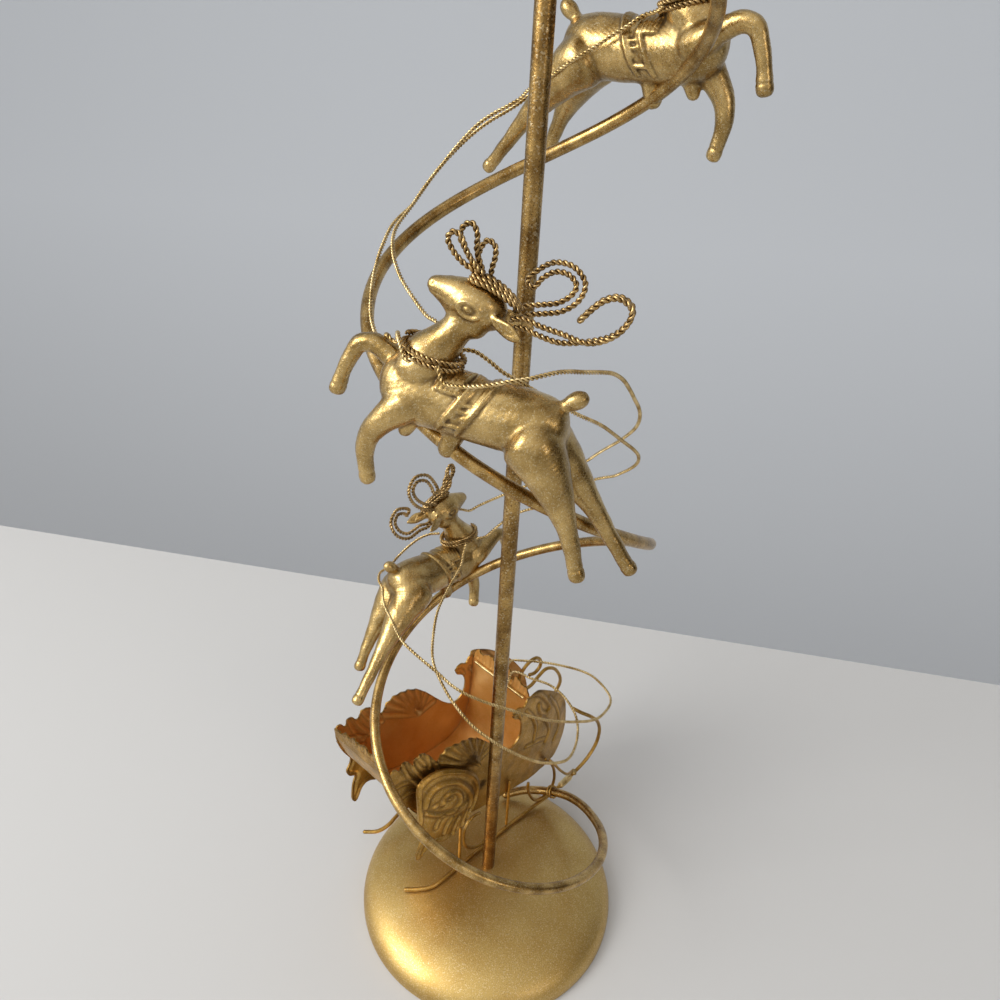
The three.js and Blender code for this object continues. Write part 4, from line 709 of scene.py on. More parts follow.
grooveSettings = {  # depth and half width in mm
    "hoof": (0.14, 0.35),
    "hoofReach": 4.2,  # from the hoof's end
    "mouth": (0.22, 0.3),
    "mouthFrom": (9.5, 0.4),  # X and distance from the middle
    "mouthLine": (12, 39.7, 0.05),  # X, Z and slope
    "nostril": (0.3, 0.55),
    "nostrilPlace": (14.3, 41.9),
    "nostrilFrom": 0.5,  # from the middle
    "ear": 0.5,
    "earPlace": (-8.6, 37.7),
    "earReach": (3.4, 1.3),
    "earFrom": 5.4,
}
hoofEnds = [(19.2, 3.7, -18.4), (36.9, -5.5, 0.4), (-47, 9.2, -21.4), (-61.8, -7.8, -22.8)]


def limb(rows, flat=1.0):  # circles across the line through the rows, rounded off at the start
    line, way = smoothLine(np.asarray(rows) * deerSettings["length"], deerSettings["spacing"])
    share = np.clip(1 - way / line[0, 3], 0, 1)
    radii = line[:, 3] * np.sqrt(1 - deerSettings["blunt"] * share**2)
    return tube(line[:, :3], radii, deerSettings["sides"], flat)


def torso():  # ovals across the X axis: half width x cosine, and middle + half height x sine
    rows = np.asarray(torsoRows)
    rows = np.column_stack([rows[:, 0], 0 * rows[:, 0], rows[:, 1:]]) * deerSettings["length"]
    line, _ = smoothLine(rows, deerSettings["spacing"])
    sides = deerSettings["torsoSides"]
    angle = fullTurn * np.arange(sides) / sides
    x = np.repeat(line[:, :1], sides, 1)
    y = line[:, 4:5] * np.cos(angle)
    z = line[:, 2:3] + line[:, 3:4] * np.sin(angle)
    shell = np.stack([x, y, z], -1)
    ends = [np.repeat(shell[k].mean(0)[None, None], sides, 1) for k in (0, -1)]
    grid = np.concatenate([ends[0], shell, ends[1]])
    return grid.reshape(-1, 3), gridFaces(len(line) + 2, sides)


def mirroredRows(rows):  # the same rows on the other side of the middle
    rows = np.array(rows, float)
    rows[:, 1] *= -1
    return rows


def remeshed(points, faces, voxel):  # one skin over all the shapes, from a grid of small cubes
    mesh = bpy.data.meshes.new("casting")
    mesh.from_pydata(points.tolist(), [], faces.tolist())
    work = bmesh.new()
    work.from_mesh(mesh)
    bmesh.ops.remove_doubles(work, verts=work.verts, dist=sameMillimetres)
    bmesh.ops.recalc_face_normals(work, faces=work.faces)
    work.to_mesh(mesh)
    work.free()
    thing = bpy.data.objects.new("casting", mesh)
    bpy.context.collection.objects.link(thing)
    change = thing.modifiers.new("skin", "REMESH")
    change.mode, change.voxel_size = "VOXEL", voxel
    done = thing.evaluated_get(bpy.context.evaluated_depsgraph_get()).to_mesh()
    skin = np.zeros(len(done.vertices) * 3, np.float32)
    done.vertices.foreach_get("co", skin)
    corners = np.zeros(len(done.loops), np.int32)
    done.loops.foreach_get("vertex_index", corners)
    bpy.data.objects.remove(thing)
    return skin.reshape(-1, 3).astype(float), corners.reshape(-1, 4)


def neighbourMean(points, links, counts):  # the sum over each point's links, over their number
    total = np.zeros_like(points)
    np.add.at(total, links[:, 0], points[links[:, 1]])
    np.add.at(total, links[:, 1], points[links[:, 0]])
    return total / counts[:, None]


def vertexNormals(points, faces):  # the sum of the crossed diagonals of the faces at each point
    a, b, c, d = (points[faces[:, k]] for k in range(4))
    flat = np.cross(c - a, d - b)
    total = np.zeros_like(points)
    for k in range(4):
        np.add.at(total, faces[:, k], flat)
    return unit(total)


def sidesOf(faces):  # the four sides of each face, as pairs of points
    return np.vstack([faces[:, [0, 1]], faces[:, [1, 2]], faces[:, [2, 3]], faces[:, [3, 0]]])


def facesLinks(faces, count):  # each side once, and how many sides meet at each point
    links = np.unique(np.sort(sidesOf(faces), axis=1), axis=0)
    return links, np.maximum(np.bincount(links.ravel(), minlength=count), 1)


def ring(distance, radius, width):  # a soft ridge at one distance
    return np.exp(-(((distance - radius) / width) ** 2))


# How far each point of the casting stands out, in millimetres: soft ridges and pits, each an
# exponential of the squared distance over a width, and a slow and a fine wave of sines.
def castDetail(p):
    x, y, z = p.T
    side = np.abs(y)
    eye, groove = eyeSettings, grooveSettings
    lean = math.radians(eye["lean"])
    u, w = x - eye["x"], z - eye["z"]
    a = (u * math.cos(lean) + w * math.sin(lean)) / eye["long"]
    b = (w * math.cos(lean) - u * math.sin(lean)) / eye["tall"]
    r = np.hypot(a, b)
    rim = eye["ridge"] * ring(r, 1.0, eye["ridgeWidth"])
    pit = eye["pit"] * np.exp(-((r / eye["pitReach"]) ** 4))
    along, above = eye["pupilReach"]
    pupil = np.exp(-(((a - eye["pupilForward"]) / along) ** 2) - (b / above) ** 2)
    out = (side > eye["from"]) * (rim - pit + eye["pupil"] * pupil)
    depth, width = groove["hoof"]
    for end in hoofEnds:
        away = np.linalg.norm(p - np.array(end), axis=1)
        out = out - depth * ring(away, groove["hoofReach"], width)
    depth, width = groove["mouth"]
    (fromX, fromSide), (atX, atZ, slope) = groove["mouthFrom"], groove["mouthLine"]
    below = z - atZ - slope * (x - atX)
    out -= depth * ((x > fromX) & (side > fromSide)) * np.exp(-((below / width) ** 2))
    depth, width = groove["nostril"]
    nostrilX, nostrilZ = groove["nostrilPlace"]
    away = np.hypot(x - nostrilX, z - nostrilZ)
    out -= depth * (side > groove["nostrilFrom"]) * np.exp(-((away / width) ** 2))
    (earX, earZ), (along, above) = groove["earPlace"], groove["earReach"]
    ear = np.hypot((x - earX) / along, (z - earZ) / above)
    out -= groove["ear"] * (side > groove["earFrom"]) * np.exp(-(ear**4))
    slow = np.sin(x * 0.9 + 1.3) * np.sin(y * 0.7) + np.sin(z * 0.8 + x * 0.33)
    fine = np.sin(x * 2.9 + z * 1.7) * np.sin(y * 2.3 + z * 2.1)
    return out + deerSettings["unevenness"] * (slow + 0.5 * fine)


# A place on the torso's skin, at an angle from the back's middle: half width x sine, and middle +
# half height x cosine
def onBack(x, angle, lift):
    rows = np.asarray(torsoRows) * deerSettings["length"]
    middle, tall, wide = (np.interp(x, rows[:, 0], rows[:, k]) for k in (1, 2, 3))
    y = (wide + lift) * np.sin(angle)
    return np.stack([x + 0 * angle, y, middle + (tall + lift) * np.cos(angle)], -1)


def leaning(x, angle):  # the harness leans forward as it goes down the flank
    return x + harnessSettings["lean"] * (1 - np.cos(angle))


def harness():  # bands across the back and rungs between the outer two
    shapes = []
    own = harnessSettings
    bands = own["bands"]
    for x, radius, reach in bands:
        angle = np.linspace(-reach, reach, own["bandPlaces"])
        line = onBack(leaning(x, angle), angle, own["bandLift"])
        shapes.append(tube(line, radius, own["bandSides"]))
    front, rear = bands[0][0], bands[-1][0]
    for turn, radius in own["rungs"]:
        for sign in (1, -1):
            x = leaning(np.linspace(rear, front, own["rungPlaces"]), turn)
            line = onBack(x, np.full(own["rungPlaces"], sign * turn), own["rungLift"])
            shapes.append(tube(line, radius, own["rungSides"]))
    return shapes


def ropeOnBack():  # the cast cord over the withers: short slanting ridges between the bars
    shapes = []
    own = harnessSettings
    angle = np.linspace(-own["ropeReach"], own["ropeReach"], own["ropePlaces"])
    for x in np.linspace(*own["ropes"]):
        line = onBack(x + own["ropeBow"] * np.sin(angle), angle, own["ropeLift"])
        shapes.append(tube(line, own["ropeRadius"], own["ropeSides"]))
    return shapes


def relaxed(points, links, counts, times):  # each point moved halfway to its neighbours' mean
    for _ in range(times):
        points = points * 0.5 + neighbourMean(points, links, counts) * 0.5
    return points


# One skin over torso and limbs, smoothed, then one over that and the harness, moved out along its
# normals by the cast detail. A point is in a hollow where its neighbours' mean lies outside it.
# Hollows, and faces that turn downwards, get painted shade: the recess values returned.
def reindeerCasting():
    shapes = [torso()] + [limb(rows) for rows in limbRows.values()]
    shapes += [limb(rows, deerSettings["earFlat"]) for rows in (earRows, mirroredRows(earRows))]
    points, faces = remeshed(*joined(shapes), deerSettings["voxel"])
    points = relaxed(points, *facesLinks(faces, len(points)), deerSettings["bodySmoothings"])
    shapes = [(points, faces)] + harness() + ropeOnBack()
    points, faces = remeshed(*joined(shapes), deerSettings["voxel"])
    links, counts = facesLinks(faces, len(points))
    points = relaxed(points, links, counts, deerSettings["smoothings"])
    rise = castDetail(points) + deerSettings["coat"]
    points = points + vertexNormals(points, faces) * rise[:, None]
    soft = points
    for _ in range(deerSettings["recessReach"]):
        soft = neighbourMean(soft, links, counts)
    normals = vertexNormals(points, faces)
    # painted shade in the hollows and under the body
    hollow = ((soft - points) * normals).sum(1) / deerSettings["recessDepth"]
    slope, strength = deerSettings["underside"]
    under = np.clip(-normals[:, 2] - slope, 0, 1) * strength
    return points, faces, np.maximum(np.clip(hollow, 0, 1), under)


deerSeats = {  # axes forward, left and up in the rod's frame, then the origin
    "lower_deer": [
        (0.64133, 0.76702, -0.01920), (-0.75927, 0.63084, -0.15985), (-0.11050, 0.11709, 0.98695),
        (-27.1398, 42.8066, 152.1669),
    ],
    "middle_deer": [
        (-0.95606, 0.20496, 0.20962), (-0.19672, -0.97864, 0.05969), (0.21738, 0.01583, 0.97596),
        (-19.0747, -46.2846, 267.9584),
    ],
    "upper_deer": [
        (0.82895, -0.55703, 0.05059), (0.54749, 0.82659, 0.13036), (-0.11443, -0.08036, 0.99018),
        (35.5499, 30.6058, 355.4917),
    ],
}


def seated(points, name):  # from a deer's own axes to the rod's
    axes = np.array(deerSeats[name])
    return points @ axes[:3] + axes[3]


casting = reindeerCasting()
for deerName in deerSeats:
    shape = (seated(casting[0], deerName), casting[1])
    addPiece(deerName + "Casting", shape, castGold, "gold_paint", deerName, values=casting[2])
print("castings made:", len(casting[0]), "points each")

# Twisted wires: antlers and collars in a deer's frame, reins in the rod's frame

antlerWire = {**wireSettings, "strand": 0.82, "pitch": 3.1, "stepsPerPitch": 14}
collarWire = {**wireSettings, "strand": 0.82, "pitch": 3.0, "stepsPerPitch": 12}
reinWire = {**wireSettings, "strand": 0.68, "pitch": 2.7, "stepsPerPitch": 10, "sides": 7}
bundleRows = [
    (0.106, 0.003, 0.935), (0.061, 0.004, 0.934), (-0.009, 0.003, 0.929), (-0.085, 0.005, 0.905),
    (-0.15, 0.004, 0.872), (-0.19, 0.004, 0.84),
]
bundleSpread = (0.7, 1, 1, 0.9, 0.6, 0.35)  # how far apart the strands are at each place
bundleOffsets = [  # Y and Z of each strand from the middle one
    (-1.8, -0.2), (-0.6, 0.5), (0.6, 0.5), (1.8, -0.2), (-1.2, -0.9), (1.2, -0.9), (2.8, -1.0),
]
bundlePitch = 0.2  # mm by which the pitches of neighbouring strands differ
loopRows = [
    [
        (2.6, 0.6, 47.6), (7.15, 1.6, 48.75), (10.6, 2.6, 51.05),
        (12.55, 3.4, 53.95), (11.3, 3.4, 55.8),
        (9.3, 3.2, 54.95), (7.55, 2.4, 52.25), (5, 1.5, 49.5), (1.8, 1.1, 47.5),
    ],
    [
        (3.75, 0, 47.5), (8.1, 0.2, 51.8), (10.4, 0.2, 54.55), (10.1, 0, 57.3), (8.3, -0.2, 58.3),
        (6.55, -0.4, 56.4), (5.6, -0.6, 52.4), (2.5, -0.7, 47.5),
    ],
    [
        (2.6, -1.2, 47.5), (4.9, -2, 49.5), (5.25, -2.8, 53.1), (4, -3, 55.2), (1.9, -3, 54.35),
        (1.1, -2.8, 51.6), (1.1, -2.2, 49), (0.5, -1.2, 47.4),
    ],
]
curlRows = {
    "lower_left": [
        (-2.2, 2.4, 36.2), (-5.39, 3.2, 34.39), (-9.06, 3.78, 34.71),
        (-15.11, 5, 32.8), (-18.73, 6, 35.13),
        (-19.78, 7, 39.09), (-17.4, 7.5, 41.7), (-13.4, 8, 40.84), (-10.92, 9.47, 38.69),
        (-9.44, 9.47, 40.45), (-12.5, 8, 42.96), (-18.1, 7.5, 43.9), (-22.02, 7, 39.61),
        (-20.57, 6, 33.77), (-15.29, 5, 30.5), (-8.69, 3.78, 32.44), (-5.61, 3.2, 32.6),
        (-2.0, 2.4, 34.8),
    ],
    "lower_right": [
        (-5.15, -4.05, 45.09), (-10.14, -3, 46.67), (-16.18, -4, 51.99), (-17.81, -5, 56.43),
        (-15.73, -5.5, 59.13), (-11.72, -6, 58.6), (-8.74, -6, 54.81), (-7.53, -6, 51.41),
        (-5.37, -6, 52.19), (-6.76, -6, 55.99), (-10.58, -6, 60.6), (-16.57, -5.5, 61.27),
        (-20.09, -5, 56.67), (-18.02, -4, 50.61), (-11.36, -3, 44.73), (-5.85, -4.05, 42.91),
    ],
    "middle_left": [
        (-7.46, 1.2, 39.12), (-10.65, 2.5, 40.73), (-15.98, 3.5, 40.65), (-21.21, 4.5, 40.88),
        (-28.85, 7.15, 41.6), (-34.05, 8.65, 45.55), (-36.2, 9.65, 50.25), (-35.7, 10.15, 53.1),
        (-32.3, 10.15, 54.4), (-29.15, 10.15, 52.85), (-26.95, 10.15, 49.95), (-25.25, 10.15, 46.9),
        (-25.25, 7.85, 46.9), (-26.95, 7.85, 49.95), (-29.15, 7.85, 52.85), (-32.3, 7.85, 54.4),
        (-35.7, 7.85, 53.1), (-36.2, 7.35, 50.25), (-34.05, 6.35, 45.55), (-28.85, 4.85, 41.6),
        (-21.59, 4.5, 38.62), (-16.02, 3.5, 38.35), (-11.05, 2.5, 38.47), (-8.54, 1.2, 37.08),
    ],
    "middle_right": [
        (-7.41, -1.4, 40.38), (-9.66, -2, 42.73), (-14.36, -3, 44.61), (-17.52, -4, 45.93),
        (-20.02, -5, 48.66), (-20.38, -6, 50.93), (-17.81, -6.5, 52.79), (-14.06, -7, 52.39),
        (-11.34, -7, 49.88), (-9.71, -7, 46.85), (-7.69, -7, 47.95), (-9.56, -7, 51.32),
        (-13.14, -7, 54.51), (-18.39, -6.5, 55.01), (-22.42, -6, 51.97), (-22.08, -5, 47.64),
        (-18.88, -4, 44.07), (-15.24, -3, 42.49), (-10.84, -2, 40.77), (-9.09, -1.4, 38.82),
    ],
}
collarRows = [
    (18.91, 0, 22.9), (17.75, 3.76, 22.93), (14.61, 6.52, 22.75), (10.33, 7.53, 22.45),
    (6.05, 6.52, 22.15), (2.91, 3.76, 21.97), (1.75, 0, 22),
    (2.88, -3.76, 22.27), (5.99, -6.52, 22.74),
    (10.24, -7.53, 23.34), (14.49, -6.52, 23.94), (17.6, -3.76, 24.42), (18.72, 0, 24.69),
    (17.56, 3.76, 24.72), (14.42, 6.52, 24.54), (10.14, 7.53, 24.24), (5.86, 6.52, 23.94),
    (2.72, 3.76, 23.76), (1.56, 0, 23.79), (2.69, -3.76, 24.06), (5.8, -6.52, 24.54),
    (10.05, -7.53, 25.13), (14.3, -6.52, 25.73), (17.41, -3.76, 26.21), (18.53, 0, 26.48),
]
reinRows = {
    "upper_left_rein": [
        (42.7, 32.3, 380.5), (40.3, 35.2, 377.4), (37.2, 38.2, 374.9), (33.6, 41.1, 373.5),
        (30, 44.1, 372), (27.7, 48.4, 371.7), (24.3, 51.9, 371), (20.6, 54.9, 369.9),
        (16.4, 56.4, 367.8), (12.2, 57.2, 365.4), (8.3, 58, 362.6), (4.3, 58.7, 359.8),
        (0.5, 58.7, 356.7), (-3.2, 58.3, 353.5), (-7, 57.5, 350.5), (-11.1, 56.7, 347.9),
        (-15.3, 55.6, 345.5), (-19.2, 54.2, 342.9), (-22.8, 52.5, 340), (-26.1, 50.5, 337),
        (-29.1, 48.2, 333.9), (-32, 45.6, 330.8), (-34.5, 42.7, 327.8), (-36.6, 39.5, 324.7),
        (-38.5, 36.1, 321.8), (-40.3, 32.3, 319.2), (-42.1, 28.1, 317.4), (-43.5, 23.6, 316.2),
        (-44.7, 19, 314.8), (-45.6, 14.6, 312.9), (-46.2, 10.2, 310.7), (-46.7, 5.8, 308.5),
        (-46.9, 1.5, 306.2), (-47, -2.9, 304), (-46.8, -7.2, 301.7), (-46.4, -11.6, 299.4),
        (-45.8, -15.9, 297.2), (-44.9, -20.2, 295.1), (-43.4, -24.6, 293.3), (-41.4, -28.9, 292.2),
        (-37.9, -31.2, 292.9), (-37.6, -35.7, 294.8), (-35, -37.2, 293.4), (-33.8, -40.2, 296.7),
        (-32.9, -44.9, 298), (-31.5, -49.4, 296.8), (-29.5, -52.7, 293.8), (-27.2, -52.4, 294.2),
    ],
    "upper_right_rein": [
        (33.3, 18.1, 378.2), (32, 22.7, 377), (28.9, 25.6, 376), (24.8, 25.4, 373.3),
        (20.7, 26.6, 370.9), (16.7, 27.2, 368.2), (12.6, 28, 365.7), (8.8, 30.1, 363.4),
        (5.5, 32.9, 361), (2.5, 35.9, 358.7), (-0.7, 39, 356.6),
        (-3.8, 42.5, 355), (-6.3, 45.8, 352.4),
        (-10.4, 46.7, 349.9), (-14.7, 46.3, 347.6), (-18.7, 45.2, 345), (-22.2, 43.7, 341.9),
        (-25.3, 41.8, 338.6), (-28.1, 39.5, 335.3), (-30.7, 36.9, 332), (-33.1, 33.9, 329),
        (-35.2, 30.5, 326.1), (-37, 26.8, 323.5), (-38.6, 22.9, 320.9), (-40.2, 18.9, 318.6),
        (-41.7, 14.7, 316.5), (-42.6, 10.3, 314.5), (-42.6, 5.8, 312.6), (-41.9, 1.3, 310.7),
        (-40.8, -3, 308.6), (-39.2, -7.1, 306.4), (-37.3, -11.2, 304.5), (-35, -15.2, 302.7),
        (-32.6, -19.1, 301.1), (-30.1, -23, 299.5), (-27.4, -26.9, 298.1), (-24.2, -30.6, 297.5),
        (-22.6, -33.9, 295.3), (-23.6, -34.5, 293.2),
    ],
    "middle_left_rein": [
        (-21.6, -53, 293), (-19.8, -54.5, 289), (-15.9, -57.3, 289.3), (-11.7, -59.7, 290.4),
        (-7.3, -61.4, 291.7), (-2.7, -62, 293.1), (1.9, -60.3, 293.5), (5.9, -57.5, 293.7),
        (9.6, -54.3, 293.6), (13, -50.9, 292.8), (16.1, -47.3, 291.6), (19.3, -43.7, 290.5),
        (22.4, -40.1, 289.4), (25.3, -36.4, 288), (27.9, -32.8, 285.9), (30.1, -29.2, 283.3),
        (31.9, -25.8, 280.4), (33.7, -22.4, 277.3), (35.3, -18.9, 274.2), (36.9, -15.3, 271.3),
        (38.3, -11.6, 268.4), (39.5, -7.9, 265.3), (40.3, -4.3, 262.2), (40.8, -0.6, 259),
        (40.8, 3, 255.7), (40.2, 6.6, 252.4), (39.1, 10.1, 249.1), (37.8, 13.5, 245.8),
        (36.2, 16.9, 242.6), (34.4, 20.1, 239.5), (32.5, 23.3, 236.2), (30.8, 26.5, 232.9),
        (29, 29.5, 229.5), (26.7, 32.3, 226.2), (23.8, 34.8, 223.1), (20.7, 37.1, 220.2),
        (17.4, 39.3, 217.2), (14, 41.4, 214.3), (10.6, 43.4, 211.4), (7.1, 45.2, 208.5),
        (3.5, 46.9, 205.6), (-0.1, 48.6, 202.8), (-3.8, 50.2, 199.9), (-7.4, 51.7, 197),
        (-11.1, 53.1, 194.1), (-14.9, 54.1, 191.2), (-18.9, 54.3, 188.3), (-22.6, 56.6, 187.3),
        (-26.3, 59, 185.4), (-28.6, 60.1, 181.2), (-29.3, 60.5, 176.4), (-29, 60.6, 174),
    ],
    "middle_right_rein": [
        (-18.2, -36.2, 292), (-13.2, -36, 291.7), (-9, -36, 289.2), (-5.1, -35.9, 286.2),
        (-0.9, -35.2, 283.8), (3.2, -34.1, 281.2), (7.2, -32.7, 278.5), (11.1, -31.1, 275.9),
        (14.9, -29.2, 273.4), (18.5, -27, 270.9), (21.8, -24.2, 268.6), (24.8, -21, 266.2),
        (27.6, -17.8, 263.6), (30.1, -14.6, 260.8), (32.6, -11.4, 258), (34.9, -8.1, 255.2),
        (37.3, -4.7, 252.4), (39.6, -1.3, 249.7), (41.7, 2.2, 246.8), (43.4, 5.8, 243.9),
        (44.5, 9.4, 240.7), (45, 13.1, 237.4), (44.6, 16.7, 234.1), (43.3, 20.1, 230.8),
        (41.3, 23.3, 227.6), (39, 26.4, 224.5), (36.1, 29.6, 222), (32.9, 32.4, 219.5),
        (29.8, 34.8, 216.6), (26.8, 36.9, 213.2), (23.8, 38.8, 209.7), (20.9, 40.6, 206.2),
        (17.7, 42.3, 202.8), (14.3, 43.9, 199.6), (10.3, 45.3, 197),
        (6, 46.4, 194.9), (2, 47.5, 192.1),
        (-1.4, 48.5, 188.8), (-4.8, 49.3, 185.2), (-7.9, 49.8, 181.4), (-11.1, 50.1, 177.7),
        (-15.1, 49.1, 176.9),
    ],
    "lower_left_rein": [
        (-32.3, 55.8, 174.2), (-36.6, 56.2, 173.3), (-41, 54.1, 172.2), (-44.5, 51.1, 170.6),
        (-47.5, 47.5, 169), (-49.9, 43.3, 167.9), (-51.6, 38.7, 167.3), (-53.6, 34.3, 167.5),
        (-55.3, 29.8, 168.1), (-54.7, 24.9, 167.7), (-52.4, 20.7, 166.7), (-51.4, 15.9, 166.5),
        (-50, 11.1, 166.5), (-48.2, 6.6, 166.8), (-46, 2.1, 167), (-43.8, -2.3, 166.8),
        (-41.6, -6.6, 166.1), (-38.8, -10.6, 165.1), (-35.2, -13.7, 163.9), (-31.3, -16.1, 162.2),
        (-27.4, -17.2, 159.4), (-23.5, -18, 156.4), (-19.7, -19.4, 153.6), (-15.6, -20.2, 151),
        (-11.3, -20.3, 148.6), (-6.9, -20, 146.3), (-2.5, -19.5, 144.2), (1.9, -18.7, 142.1),
        (6, -17.5, 139.6), (9.8, -16, 136.8), (13.3, -14.2, 133.9), (16.8, -12.2, 131),
        (20.3, -10, 128.3), (23.8, -7.6, 125.7), (27.2, -5.1, 123.2), (30.4, -2.4, 120.6),
        (33.5, 0.4, 118.1), (36.5, 3.4, 115.5), (39.3, 6.5, 112.8),
        (42, 9.8, 110.3), (44.6, 13.3, 108),
        (47, 17.1, 106), (49.3, 21.2, 104.6), (51.4, 25.5, 103.4),
        (52.9, 30.1, 102.5), (53, 35, 101.8),
        (51.2, 39.6, 101.8), (48.1, 43.2, 102.9), (44.2, 45.8, 104.3), (39.6, 47.6, 105),
        (34.9, 48.9, 105.3), (30, 49.8, 105.6), (25.1, 50.5, 105.8), (20.2, 51, 105.9),
        (15.3, 51.1, 106), (10.4, 50.7, 106.3), (5.5, 49.9, 106.7),
        (3, 46, 107.4), (0.7, 42.6, 105.7),
        (-0.7, 41.2, 101.1),
    ],
    "lower_right_rein": [
        (-19.2, 44.9, 176.9), (-20.2, 42.9, 172.5), (-20.7, 39.7, 168.9), (-22.4, 36, 166.1),
        (-24.1, 31.8, 164.5), (-25.6, 27.3, 162.9), (-27.2, 23, 161.2), (-28.4, 18.5, 159.5),
        (-28.9, 13.9, 157.9), (-29, 9.2, 156.4), (-28.9, 4.5, 154.8), (-28.6, 0, 153),
        (-27.7, -4.4, 151.1), (-25.9, -8.8, 149.6), (-23.5, -12.7, 147.9), (-20.8, -16.3, 145.8),
        (-17.8, -19.4, 143.6), (-14.5, -22.3, 141.3), (-10.9, -24.8, 139), (-7, -26.6, 136.6),
        (-2.9, -27.7, 134.2), (1.2, -28, 131.4), (5, -27.5, 128.4),
        (8.6, -26.5, 125.2), (12, -25, 122),
        (15.3, -23.1, 118.8), (18.3, -20.9, 115.6), (21.2, -18.3, 112.6), (23.9, -15.4, 109.6),
        (26.4, -12.4, 106.7), (28.8, -9.1, 103.9), (30.9, -5.6, 101.2), (32.9, -1.6, 99.1),
        (34.6, 2.8, 97.8), (36, 7.5, 97.1), (36.9, 12.3, 97.4),
        (37.1, 17.1, 98.6), (36.2, 21.6, 100.4),
        (34, 25.4, 102.5), (31, 28.8, 104.4), (27.4, 31.8, 105.9), (23.3, 34.2, 107),
        (18.6, 35.6, 107.6), (13.9, 37.1, 107.8), (9.9, 39.9, 107.6), (5.5, 40.6, 107.3),
        (3.8, 38.4, 103.4), (3.1, 37.7, 101.1),
    ],
}


def antlerBundle():  # strands side by side over the head, from the front loops to the rear curls
    shapes = []
    for k, (y, z) in enumerate(bundleOffsets):
        spread = np.outer(bundleSpread, [0, y, z])
        rows = np.array(bundleRows) * deerSettings["length"] + spread
        pitch = antlerWire["pitch"] + bundlePitch * (k % 3)
        shapes.append(strandedWire(rows, {**antlerWire, "pitch": pitch}))
    return shapes


for deerName in deerSeats:
    shapes = [strandedWire(rows, antlerWire) for rows in loopRows] + antlerBundle()
    wires = [("FrontLoops", joined(shapes), "_antler_loops")]
    for side in ("left", "right"):
        rows = curlRows[("lower_" if deerName == "lower_deer" else "middle_") + side]
        node = "_" + side + "_antler_curl"
        wires.append((side.title() + "Curl", strandedWire(rows, antlerWire), node))
    wires.append(("NeckWire", strandedWire(collarRows, collarWire), "_collar"))
    # groove holds the painted shade between the strands
    for ending, (points, faces, groove), node in wires:
        shape = (seated(points, deerName), faces)
        node = deerName + node
        addPiece(deerName + ending, shape, antlerGold, "dark_gold_paint", node, values=groove)
for name, rows in reinRows.items():
    # groove holds the painted shade between the strands
    points, faces, groove = strandedWire(rows, reinWire)
    addPiece(name + "Twist", (points, faces), wireGold, "pale_gold_paint", name, values=groove)
print("antlers, collars and reins made")

# Sleigh. Its own frame has S forwards, T to the right and Z up; the tables are shares of its
# length and height.

sleighSettings = {
    "length": 116.0,
    "height": 104.0,
    "halfWidth": 20.0,
    "back": 31.0,
    "side": 11.6,
    "heading": 47.0,
    "rearTwist": 7.0,  # degrees that the rear end is rolled to the left
    "twistReach": 0.2,
    "twistAxis": 0.53,
    "frontCurl": 5.0,
    "tubSheet": 0.7,
    "panelSheet": 0.8,
    "plateSheet": 1.0,
    "plateBulge": 3.2,
    "cell": 0.45,  # mm between the points of a stamped sheet
    "gap": 0.3,  # between two pieces
    "plateStand": 2.1,  # from a panel to its plate
    "cornerCut": 0.22,
    "sharp": 60,  # degrees past which an edge stays crisp
}
foldRows = [(0, 0), (0.42, 0), (0.53, 0.2), (0.63, 0.6), (0.72, 1.2)]
panelRows = [
    (-0.267, 0.827), (-0.233, 0.76), (-0.181, 0.692),
    (-0.112, 0.596), (-0.034, 0.519), (0.086, 0.481),
    (0.207, 0.452), (0.31, 0.428), (0.414, 0.409), (0.5, 0.394), (0.603, 0.389), (0.672, 0.404),
    (0.711, 0.481), (0.716, 0.587), (0.685, 0.712), (0.612, 0.827), (0.534, 0.909), (0.457, 0.971),
    (0.397, 0.995), (0.366, 0.971), (0.353, 0.938), (0.323, 0.962), (0.289, 0.947), (0.293, 0.909),
    (0.332, 0.885), (0.349, 0.837), (0.345, 0.769), (0.31, 0.731), (0.267, 0.736), (0.224, 0.779),
    (0.181, 0.837), (0.129, 0.909), (0.078, 0.966),
    (0.017, 0.995), (-0.034, 0.995), (-0.069, 0.971),
    (-0.091, 0.923), (-0.108, 0.952), (-0.121, 0.981),
    (-0.151, 1.005), (-0.177, 0.986), (-0.19, 0.952),
    (-0.207, 0.99), (-0.233, 0.995), (-0.246, 0.957),
    (-0.259, 0.986), (-0.284, 0.99), (-0.293, 0.933),
    (-0.284, 0.875),
]
stripRows = [
    (-0.293, 0.99), (-0.29, 0.95), (-0.28, 0.9), (-0.262, 0.84), (-0.228, 0.765), (-0.18, 0.673),
    (-0.103, 0.587), (0, 0.538), (0.121, 0.514), (0.241, 0.514), (0.315, 0.553), (0.362, 0.635),
    (0.382, 0.75), (0.388, 0.865), (0.393, 0.962),
]
dashCrestRows = [
    (-0.49, 0.923), (-0.49, 0.99), (-0.44, 1.025), (-0.36, 1), (-0.24, 1.035), (-0.12, 1.015),
    (-0.03, 1.045), (0.018, 1.04), (0.026, 0.995), (0.076, 0.995), (0.086, 1.035), (0.14, 1.035),
    (0.15, 0.99), (0.216, 0.99), (0.228, 1.03), (0.34, 1),
    (0.42, 1.005), (0.49, 0.971), (0.49, 0.923),
]
rearCrestRows = [
    (-0.49, 0.95), (-0.49, 0.97), (-0.42, 1), (-0.36, 0.985),
    (-0.28, 1.02), (-0.2, 1), (-0.1, 1.03),
    (0, 1.01), (0.1, 1.035), (0.2, 1.01), (0.3, 1.035), (0.4, 1.005), (0.49, 1.02), (0.49, 0.95),
]
